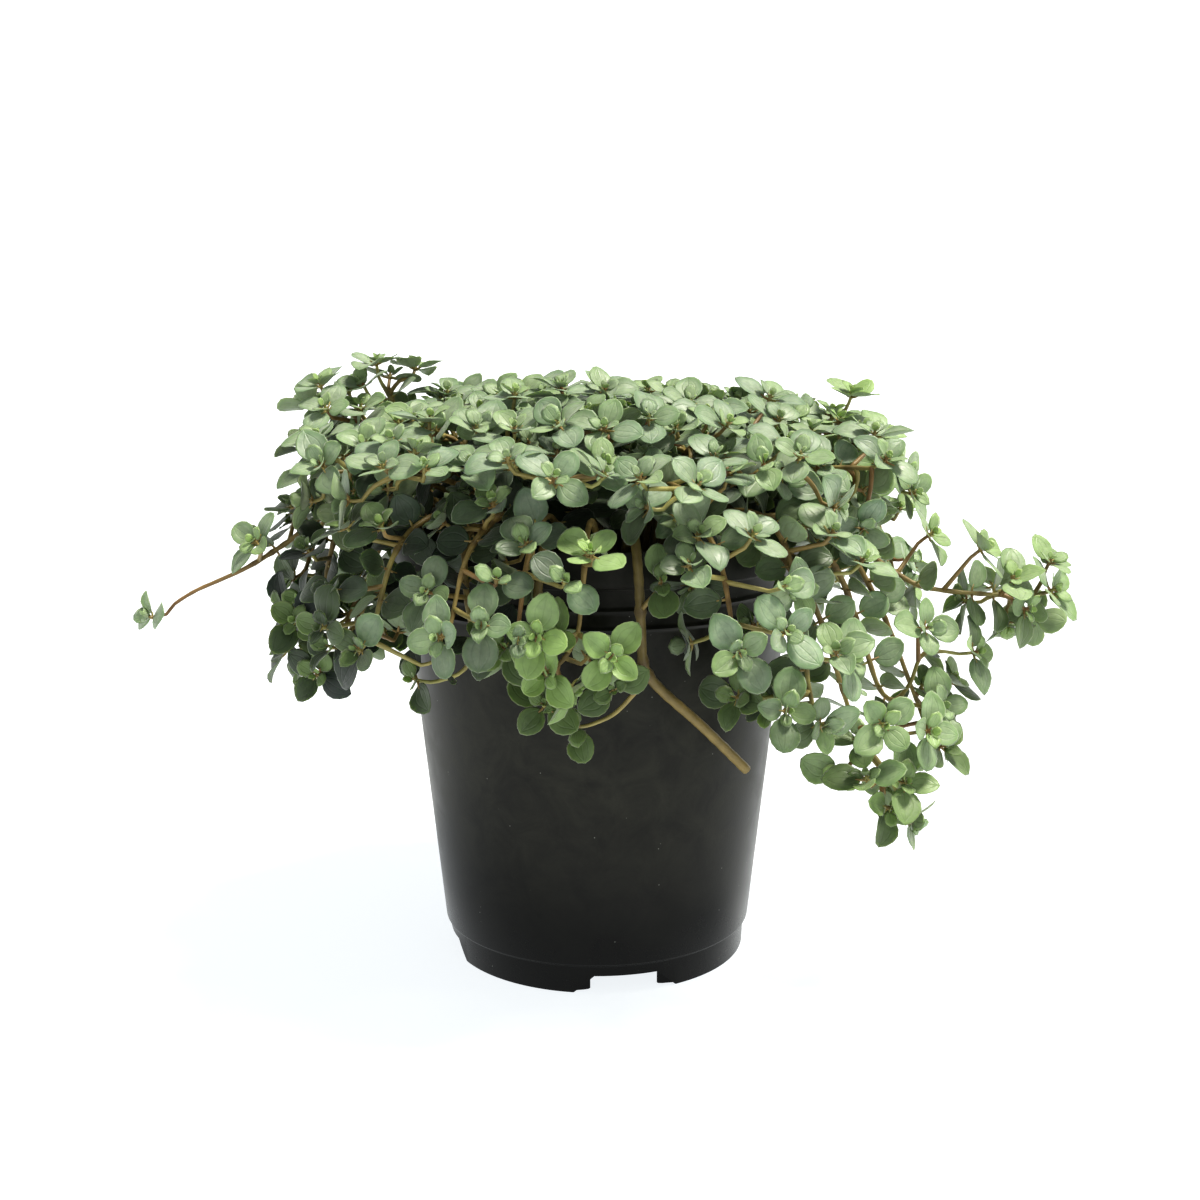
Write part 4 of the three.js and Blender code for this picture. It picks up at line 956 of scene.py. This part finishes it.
def growShoot(shoot):
    skin, draw = Skin(), seeded(seeds["growShoot"] + shoot["id"])
    youth, length = youthOf.get(shoot["name"], 0.0), shoot["curve"]["length"]
    cut = bool(shoot["row"]) and shoot["row"]["tipLeaves"] == 0
    way = shoot["curve"]["line"][::6]
    if not cut:
        way = [*way[:-1], way[-1] * 0.7 + shoot["curve"]["line"][-8] * 0.3, shoot["top"]]
    buried = stemForm["buried"]
    line = evenLine([shoot["root"] - vector(0, 0, buried), *way], stemForm["cut"])
    nodes = [length - p["back"] for p in shoot["pairs"]] + [length - b["back"] for b in shoot["branches"]]
    radii, young, knots = [], [], []
    for i in range(len(line)):
        run = (length + buried) * i / (len(line) - 1) - buried
        share = min(max(run / length, 0), 1)
        near = max([math.exp(-((run - n) / stemForm["knotHalf"]) ** 2) for n in nodes], default=0)
        thin = shoot["thick"] * (1 if cut else stemForm["taper"][0] - stemForm["taper"][1] * share)
        ripple = stemForm["ripple"] * math.sin(run * 1.7 + shoot["id"])
        radii.append(thin * (1 + stemForm["knotSwell"] * near) * (1 + ripple))
        young.append(share * (0.4 if cut else 1))
        knots.append(near)
    addTube(skin, line, radii, stemForm["sides"], draw(), young, knots)
    if not cut:
        addCross(skin, draw, shoot, shoot["top"], shoot["axis"], shoot["tipLeaves"], ages["tip"], youth)
    for pair in shoot["pairs"]:
        for leaf in pair["leaves"]:
            addBlade(skin, draw, leaf, min(ages["stem"] * draw() + youth * 0.6, 1))
    for branch in shoot["branches"]:
        curve = branch["curve"]["line"]
        way = [curve[0], *curve[3:-1:3], curve[-1] * 0.6 + curve[-3] * 0.4, branch["top"]]
        line = evenLine(way, stemForm["twigCut"])
        shares = [i / (len(line) - 1) for i in range(len(line))]
        thick, thinner = stemForm["twigTaper"]
        start = 1 - branch["back"] / length
        young = [min(start + (1 - start) * s, 1) for s in shares]
        addTube(skin, line, [thick - thinner * s for s in shares], stemForm["twigSides"], draw(), young)
        addCross(skin, draw, shoot, branch["top"], branch["axis"], branch["leaves"], ages["twig"], youth)
    return skin


def skinPiece(name, skin, materials, node):
    mesh = newMesh(name, np.clip(np.concatenate(skin.points), lowCorner, highCorner), skin.faces, materials)
    mesh.polygons.foreach_set("material_index", skin.kinds)
    mesh.polygons.foreach_set("use_smooth", [True] * len(mesh.polygons))
    tint = mesh.color_attributes.new("tint", "FLOAT_COLOR", "POINT")
    tint.data.foreach_set("color", np.concatenate(skin.tints).ravel())
    corners = np.empty(len(mesh.loops), dtype=int)
    mesh.loops.foreach_get("vertex_index", corners)
    layer = mesh.uv_layers.new(name="blade")
    layer.data.foreach_set("uv", np.concatenate(skin.places)[corners].ravel())
    mesh.update()
    return newPiece(name, mesh, node)


leafLook = {
    "mature": "#7f9275",  # sage
    "blue": "#67806b",  # the bluer of the grown blades
    "young": "#95b368",
    # painted shade: the colour mixed in where a leaf lies in shade
    "deep": "#13211a",
    "margin": "#6d875e",
    "under": "#8b9c78",
    "silver": "#abb69b",
    "fleck": 0.9,  # millimetres across a silvery fleck, coarser than the real bloom so that it shows
    "mottle": 2.2,  # millimetres from one paler patch to the next
    "veinWidth": 0.035,  # as a share of the blade
    "roughness": 0.47,
}


def makeLeafMaterial():
    # a living blade under a thin wax bloom: satin, silvery inside a greener margin, yellower while young, and
    # painted darker where the mound or other leaves shade it
    material, add = newMaterial("pilea blade, living, waxy")
    tint = add("VertexColor", layer_name="tint")
    parts = add("SeparateColor", {"Color": tint})
    # the tint's channels: age, painted shade and a random number
    age, depth, random = parts.outputs
    place = add("TexCoord").outputs["Object"]
    square = add("UVMap", uv_map="blade")
    xy = add("SeparateXYZ", {"Vector": square})
    # a midrib, and an arching vein on each side of it
    off = add("Math", {0: xy.outputs["Y"], 1: 0.5}, operation="SUBTRACT")
    off = add("Math", {0: off}, operation="ABSOLUTE")
    turn = add("Math", {0: xy.outputs["X"], 1: math.pi}, operation="MULTIPLY")
    bow = add("Math", {0: turn}, operation="SINE")
    arc = add("Math", {0: bow, 1: -0.24, 2: off}, operation="MULTIPLY_ADD")
    arc = add("Math", {0: arc}, operation="ABSOLUTE")
    nearest = add("Math", {0: off, 1: arc}, operation="MINIMUM")
    vein = add("MapRange", {
        "Value": nearest, "From Max": leafLook["veinWidth"], "To Min": 1.0, "To Max": 0.0})
    # how near the margin: the distance from the blade's middle
    fromMiddle = add("VectorMath", {0: square, 1: (0.5, 0.5, 0.0)}, operation="DISTANCE")
    margin = add("MapRange", {
        "Value": fromMiddle.outputs["Value"], "From Min": 0.3, "From Max": 0.5})
    mottle = add("TexNoise", {
        "Vector": place, "Scale": 1 / (leafLook["mottle"] * mm), "Detail": 3.0})
    fleck = add("TexNoise", {
        "Vector": place, "Scale": 1 / (leafLook["fleck"] * mm), "Detail": 2.0, "Roughness": 0.6})
    silvery = add("MapRange", {
        "Value": fleck, "From Min": 0.3, "From Max": 0.7, "To Min": 0.25, "To Max": 0.5})
    silvery = add("Mix", {"Factor": margin, "A": silvery, "B": 0.0}, data_type="FLOAT")
    edge = add("Math", {0: margin, 1: 0.55}, operation="MULTIPLY")
    below = add("Math", {0: tint.outputs["Alpha"], 1: 0.7}, operation="MULTIPLY")
    # one colour over another, from the grown blade's own to its under side's; the dark one is painted shade
    colour = hexColour(leafLook["mature"])
    layers = {"blue": random, "silver": silvery, "margin": edge, "deep": depth, "young": age, "under": below}
    for over, factor in layers.items():
        colour = add("Mix", {"Factor": factor, "A": colour, "B": hexColour(leafLook[over])}, data_type="RGBA")
    patch = add("MapRange", {
        "Value": mottle, "From Min": 0.3, "From Max": 0.7, "To Min": 0.86, "To Max": 1.1})
    lines = add("Math", {0: vein, 1: -0.05, 2: 1.0}, operation="MULTIPLY_ADD")
    shade = add("Math", {0: patch, 1: lines}, operation="MULTIPLY")
    colour = add("Mix", {"Factor": 1.0, "A": colour, "B": shade}, data_type="RGBA", blend_type="MULTIPLY")
    rough = add("MapRange", {
        "Value": mottle, "From Min": 0.3, "From Max": 0.7,
        "To Min": leafLook["roughness"] - 0.08, "To Max": leafLook["roughness"] + 0.1})
    relief = add("Math", {0: vein, 1: -0.35, 2: mottle}, operation="MULTIPLY_ADD")
    bump = add("Bump", {"Height": relief, "Strength": 0.6, "Distance": 0.25 * mm})
    shader = add("BsdfPrincipled", {
        "Base Color": colour, "Roughness": rough, "Normal": bump, "IOR": 1.45,
        "Sheen Weight": 0.2, "Sheen Roughness": 0.45, "Subsurface Weight": 0.15,
        "Subsurface Scale": 0.6 * mm, "Subsurface Radius": (0.8, 1.0, 0.35)})
    add("OutputMaterial", {"Surface": shader})
    return material


stemLook = {
    "woody": "#5f5530",  # olive brown
    "tan": "#a38c54",
    "pink": "#77503c",
    "fresh": "#9da463",
    "knot": "#54432a",
    "fibre": 0.4,  # millimetres across a fibre
    "patch": 3.0,  # millimetres from one darker patch to the next
    "roughness": 0.46,
}


def makeStemMaterial():
    # a grown stem: satin and fibrous, olive brown when old, then tan, and pink or green at its fresh end
    material, add = newMaterial("pilea stem, grown, satin bark")
    tint = add("VertexColor", layer_name="tint")
    parts = add("SeparateColor", {"Color": tint})
    young, atKnot, random = parts.outputs
    place = add("TexCoord").outputs["Object"]
    patch = add("TexNoise", {"Vector": place, "Scale": 1 / (stemLook["patch"] * mm), "Detail": 4.0})
    fibre = add("TexNoise", {"Vector": place, "Scale": 1 / (stemLook["fibre"] * mm), "Detail": 2.0})
    woody, tan, pink, fresh = (hexColour(stemLook[name]) for name in ("woody", "tan", "pink", "fresh"))
    grown = add("Mix", {"Factor": young, "A": woody, "B": tan}, data_type="RGBA")
    tips = add("Mix", {"Factor": random, "A": pink, "B": fresh}, data_type="RGBA")
    late = add("MapRange", {"Value": young, "From Min": 0.55, "To Max": 0.8})
    colour = add("Mix", {"Factor": late, "A": grown, "B": tips}, data_type="RGBA")
    ringed = add("Math", {0: atKnot, 1: 0.7}, operation="MULTIPLY")
    colour = add("Mix", {
        "Factor": ringed, "A": colour, "B": hexColour(stemLook["knot"])}, data_type="RGBA")
    shade = add("MapRange", {"Value": patch, "To Min": 0.5, "To Max": 1.4})
    colour = add("Mix", {"Factor": 1.0, "A": colour, "B": shade}, data_type="RGBA", blend_type="MULTIPLY")
    bump = add("Bump", {"Height": fibre, "Strength": 0.5, "Distance": 0.15 * mm})
    shader = add("BsdfPrincipled", {
        "Base Color": colour, "Roughness": stemLook["roughness"], "Normal": bump, "IOR": 1.45})
    add("OutputMaterial", {"Surface": shader})
    return material


leafMaterial, stemMaterial = makeLeafMaterial(), makeStemMaterial()
triangles = 0
for shoot in shoots:
    piece = skinPiece(shoot["name"] + "_foliage", growShoot(shoot), [stemMaterial, leafMaterial],
                      shoot["name"])
    triangles += sum(len(p.vertices) - 2 for p in piece.data.polygons)
print("foliage grown:", triangles, "triangles")

# The pot: one turned shell with rounded corners, its notches and drain holes cut.
potLook = {
    "black": "#060605",
    "film": "#2c2c25",  # a dull film where water has dried; where it fades out towards the foot, the pot is painted darker, as shade
    "dust": "#8d8f88",
    "stain": 9.0, "grain": 0.55, "speck": 2.6,  # millimetres across each
    "filmBottom": 8, "filmTop": 60,  # between these heights the film fades out towards the foot: painted shade that makes the lower pot darker
    "roughness": 0.26,
}


def makePotMaterial():
    # injection-moulded polypropylene: satin black, pale at grazing angles, dulled by dried water and dust,
    # and painted darker towards the foot, as shade
    material, add = newMaterial("polypropylene, injection moulded, satin black")
    place = add("TexCoord").outputs["Object"]
    stain = add("TexNoise", {
        "Vector": place, "Scale": 1 / (potLook["stain"] * mm),
        "Detail": 6.0, "Roughness": 0.62, "Distortion": 0.6})
    grain = add("TexNoise", {
        "Vector": place, "Scale": 1 / (potLook["grain"] * mm), "Detail": 2.0})
    cells = add("TexVoronoi", {"Vector": place, "Scale": 1 / (potLook["speck"] * mm)})
    height = add("SeparateXYZ", {"Vector": place})
    # the dried-water film is faded out towards the foot: painted shade, so that the pot is darker low down
    upper = add("MapRange", {
        "Value": height.outputs["Z"], "From Min": potLook["filmBottom"] * mm,
        "From Max": potLook["filmTop"] * mm, "To Min": 0.12}, interpolation_type="SMOOTHSTEP")
    film = add("MapRange", {"Value": stain, "From Min": 0.3, "From Max": 0.7, "To Min": 0.25})
    film = add("Math", {0: film, 1: upper}, operation="MULTIPLY")
    speck = add("MapRange", {
        "Value": cells.outputs["Distance"], "From Min": 0.03, "From Max": 0.07, "To Min": 0.6, "To Max": 0.0})
    chosen = add("SeparateColor", {"Color": cells.outputs["Color"]})
    few = add("Math", {0: chosen, 1: 0.66}, operation="GREATER_THAN")
    speck = add("Math", {0: speck, 1: few}, operation="MULTIPLY")
    colour = add("Mix", {
        "Factor": film, "A": hexColour(potLook["black"]), "B": hexColour(potLook["film"])}, data_type="RGBA")
    colour = add("Mix", {
        "Factor": speck, "A": colour, "B": hexColour(potLook["dust"])}, data_type="RGBA")
    rough = add("MapRange", {
        "Value": film, "To Min": potLook["roughness"], "To Max": potLook["roughness"] + 0.2})
    bump = add("Bump", {"Height": grain, "Strength": 0.12, "Distance": 0.08 * mm})
    shader = add("BsdfPrincipled", {
        "Base Color": colour, "Roughness": rough, "Normal": bump, "IOR": 1.49, "Specular IOR Level": 0.2})
    add("OutputMaterial", {"Surface": shader})
    return material


def ringOf(radius, z, sides, middle=(0, 0)):
    return [(middle[0] + radius * math.cos(2 * math.pi * k / sides),
             middle[1] + radius * math.sin(2 * math.pi * k / sides), z) for k in range(sides)]


def turnedShape(rows, sides):
    # a closed solid turned round Z; its first and last rows are points on the axis
    points, faces = [(0, 0, rows[0][1])], []
    for radius, z in rows[1:-1]:
        points += ringOf(radius, z, sides)
    points.append((0, 0, rows[-1][1]))
    last = len(points) - 1 - sides
    for k in range(sides):
        n = (k + 1) % sides
        faces.append((0, 1 + n, 1 + k))
        faces += [(a + k, a + n, a + sides + n, a + sides + k) for a in range(1, last, sides)]
        faces.append((last + k, last + n, len(points) - 1))
    return points, faces


def rounded(profile, radius):
    # each sharp corner of a profile becomes a short arc of three points
    made = [profile[0]]
    for before, here, after in zip(profile, profile[1:], profile[2:]):
        back = (before[0] - here[0], before[1] - here[1])
        on = (after[0] - here[0], after[1] - here[1])
        a, b = math.hypot(*back), math.hypot(*on)
        if back[0] * on[0] + back[1] * on[1] < -0.985 * a * b:
            made.append(here)
            continue
        reach = min(radius, 0.4 * a, 0.4 * b)
        start = (here[0] + back[0] / a * reach, here[1] + back[1] / a * reach)
        end = (here[0] + on[0] / b * reach, here[1] + on[1] / b * reach)
        made += [start, tuple((s + e) / 4 + h / 2 for s, e, h in zip(start, end, here)), end]
    return [*made, profile[-1]]


def prism(low, high):
    # a closed solid between two outlines of as many points
    n = len(low)
    faces = [tuple(range(n))[::-1], tuple(range(n, 2 * n))]
    faces += [(k, (k + 1) % n, n + (k + 1) % n, n + k) for k in range(n)]
    return [*low, *high], faces


def notchCutter(angle):
    inner, outer = pot["footRadius"] - pot["footWidth"] - 1, pot["footRadius"] + 2
    half, top, high = pot["notchBottom"] / 2, pot["notchTop"] / 2, pot["notchHeight"]
    outline = [(-half, -1), (half, -1), (half, 0), (top, high), (-top, high), (-half, 0)]
    mesh = newMesh("notch", *prism([(inner, a, z) for a, z in outline], [(outer, a, z) for a, z in outline]))
    mesh.transform(Matrix.Rotation(math.radians(angle), 4, "Z"))
    return mesh


def drainCutter(angle):
    middle = around(pot["drainCircle"], angle, 0)
    heights = (pot["floorBottom"] - 2, pot["floorTop"] + 2)
    low, high = (ringOf(pot["drainRadius"], z, pot["drainSides"], middle) for z in heights)
    return newMesh("drain", *prism(low, high))


def cutOut(mesh, cutters):
    # a new mesh: the first with every cutter taken away
    body, tools = newObject("body", mesh), [newObject("tool", cutter) for cutter in cutters]
    for tool in tools:
        modifier = body.modifiers.new("cut", "BOOLEAN")
        modifier.operation, modifier.object, modifier.solver = "DIFFERENCE", tool, "EXACT"
    bpy.context.view_layer.update()
    made = bpy.data.meshes.new_from_object(body.evaluated_get(bpy.context.evaluated_depsgraph_get()))
    for thing in [body, *tools]:
        bpy.data.objects.remove(thing)
    return made


def makePot():
    half, wall = pot["beadHalfHeight"], pot["wall"]
    beads = [point for z in pot["beadCentres"] for point in (
        (wallRadius(z - half), z - half), (wallRadius(z) + pot["beadDepth"], z),
        (wallRadius(z + half), z + half))]
    wallEnd = pot["collarBottom"] - pot["collarStep"]
    profile = [
        (0, pot["floorBottom"]), (pot["footRadius"] - pot["footWidth"], pot["floorBottom"]),
        (pot["footRadius"] - pot["footWidth"], 0), (pot["footRadius"], 0),
        (pot["footTopRadius"], pot["wallBottom"][1] - pot["ledge"]), pot["wallBottom"],
        *((wallRadius(z), z) for z in (20, 35, 50, 65, 80)), *beads, (wallRadius(wallEnd), wallEnd),
        (pot["collarRadius"], pot["collarBottom"]), (pot["rimRadius"], pot["height"]),
        (pot["rimRadius"] - wall, pot["height"]),
        (pot["collarRadius"] - wall, pot["collarBottom"] + wall),
        (wallRadius(wallEnd) - wall, wallEnd + wall / 2),
        (wallRadius(pot["floorTop"]) - wall, pot["floorTop"] + pot["floorRound"]), (0, pot["floorTop"]),
    ]
    shell = newMesh("shell", *turnedShape(rounded(profile, pot["round"]), pot["sides"]))
    cutters = [notchCutter(a) for a in pot["notchAngles"]] + [drainCutter(a) for a in pot["drainAngles"]]
    mesh = cutOut(shell, cutters)
    mesh.materials.clear()
    mesh.materials.append(makePotMaterial())
    mesh.polygons.foreach_set("use_smooth", [True] * len(mesh.polygons))
    mesh.set_sharp_from_angle(angle=math.radians(38))
    newPiece("pot_shell", mesh, "nursery_pot")
    print("pot turned:", len(mesh.polygons), "faces")


makePot()

# The potting mix: a peat plug with a lumpy top and loose crumbs.
mixLook = {"peat": "#2c2119", "dry": "#54402d", "crumb": (0.5, 1.6), "lumps": 1.6, "roughness": 0.94}


def makeMixMaterial():
    # milled peat: dull and dark, with drier crumbs that catch the light
    material, add = newMaterial("peat, milled, moist")
    place = add("TexCoord").outputs["Object"]
    lumps = add("TexNoise", {
        "Vector": place, "Scale": 1 / (mixLook["lumps"] * mm), "Detail": 5.0, "Roughness": 0.7})
    colour = add("Mix", {
        "Factor": lumps, "A": hexColour(mixLook["peat"]), "B": hexColour(mixLook["dry"])}, data_type="RGBA")
    bump = add("Bump", {"Height": lumps, "Strength": 0.9, "Distance": 0.5 * mm})
    shader = add("BsdfPrincipled", {
        "Base Color": colour, "Roughness": mixLook["roughness"], "Normal": bump, "IOR": 1.45})
    add("OutputMaterial", {"Surface": shader})
    return material


def makeMix():
    skin, draw = Skin(), seeded(seeds["mix"])
    bottom = pot["floorTop"] + pot["floorRound"] + mix["gap"]
    widest, lowest = (wallRadius(z) - pot["wall"] - mix["gap"] for z in (mix["top"], bottom))
    under = mix["top"] - mix["lump"]
    rows = [(0, bottom), (lowest * 0.97, bottom)]
    rows += [(lowest + (widest - lowest) * t, bottom + 1 + (under - bottom - 1) * t)
             for t in (0, 0.33, 0.66, 1)]
    rows += [(widest * (1 - i / mix["rings"]), mix["top"]) for i in range(mix["rings"])]
    rows.append((0, mix["top"]))
    points, faces = turnedShape(rows, mix["sides"])
    for i, (x, y, z) in enumerate(points):
        if z == mix["top"]:
            lump = noise.noise(Vector((x * 0.22, y * 0.22, 3.1)))
            lump += 0.6 * noise.noise(Vector((x * 0.7, y * 0.7, 9.4)))
            points[i] = (x, y, z - mix["lump"] * min(max(0.5 - 0.5 * lump, 0), 0.95))
    skin.add(points, faces)
    corners = [vector(*c) for c in ((1, 0, 0), (-1, 0, 0), (0, 1, 0), (0, -1, 0), (0, 0, 1), (0, 0, -1))]
    sides = [(0, 2, 4), (2, 1, 4), (1, 3, 4), (3, 0, 4), (2, 0, 5), (1, 2, 5), (3, 1, 5), (0, 3, 5)]
    for _ in range(mix["crumbs"]):
        size = between(draw, *mixLook["crumb"])
        centre = around((widest - 2) * math.sqrt(draw()), 360 * draw(), under + size * 0.25)
        skin.add([centre + c * size * between(draw, 0.35, 0.7) for c in corners], sides)
    skinPiece("peat_plug", skin, [makeMixMaterial()], "potting_mix")
    print("potting mix laid:", mix["crumbs"], "crumbs")


makeMix()

# The floor and the light.


def makeFloor():
    # a photo table of opal acrylic: matt, and lit a little from below, so that shadows on it stay faint
    material, add = newMaterial("acrylic, cast, opal white")
    place = add("TexCoord").outputs["Object"]
    tooth = add("TexNoise", {"Vector": place, "Scale": 1 / (studio["tooth"] * mm), "Detail": 2.0})
    bump = add("Bump", {"Height": tooth, "Strength": 0.05, "Distance": 0.05 * mm})
    shader = add("BsdfPrincipled", {
        "Base Color": hexColour(studio["floor"]), "Roughness": 0.8, "Normal": bump,
        "Emission Color": hexColour(studio["glowColour"]), "Emission Strength": studio["floorGlow"]})
    add("OutputMaterial", {"Surface": shader})
    half = studio["floorHalf"] / mm
    mesh = newMesh("floor", [(-half, -half, 0), (half, -half, 0), (half, half, 0), (-half, half, 0)],
                   [(0, 1, 2, 3)], [material])
    newObject("floor", mesh)


def makeLight():
    data = bpy.data.lights.new("soft lamp", "SUN")
    data.energy, data.color = studio["lampStrength"], hexColour(studio["lampColour"])[:3]
    data.angle = math.radians(studio["lampAngle"])
    lamp = newObject("soft lamp", data)
    lamp.rotation_euler = (-Vector(studio["lampFrom"])).to_track_quat("-Z", "Y").to_euler()
    world = bpy.data.worlds.new("pale room")
    add = emptyTree(world)
    way = add("TexCoord").outputs["Generated"]
    height = add("SeparateXYZ", {"Vector": way})
    up = add("MapRange", {
        "Value": height.outputs["Z"], "From Min": studio["wallTop"], "From Max": studio["ceilingFrom"]})
    colour = add("Mix", {
        "Factor": up, "A": hexColour(studio["wall"]), "B": hexColour(studio["ceiling"])}, data_type="RGBA")
    strength = add("Mix", {
        "Factor": up, "A": studio["wallStrength"], "B": studio["ceilingStrength"]}, data_type="FLOAT")
    ground = add("Background", {"Color": colour, "Strength": strength})
    add("OutputWorld", {"Surface": ground})
    bpy.context.scene.world = world


makeFloor()
makeLight()
bpy.context.scene.view_settings.view_transform = "Standard"
bpy.context.scene.view_settings.look = "Medium High Contrast"
print("studio lit")
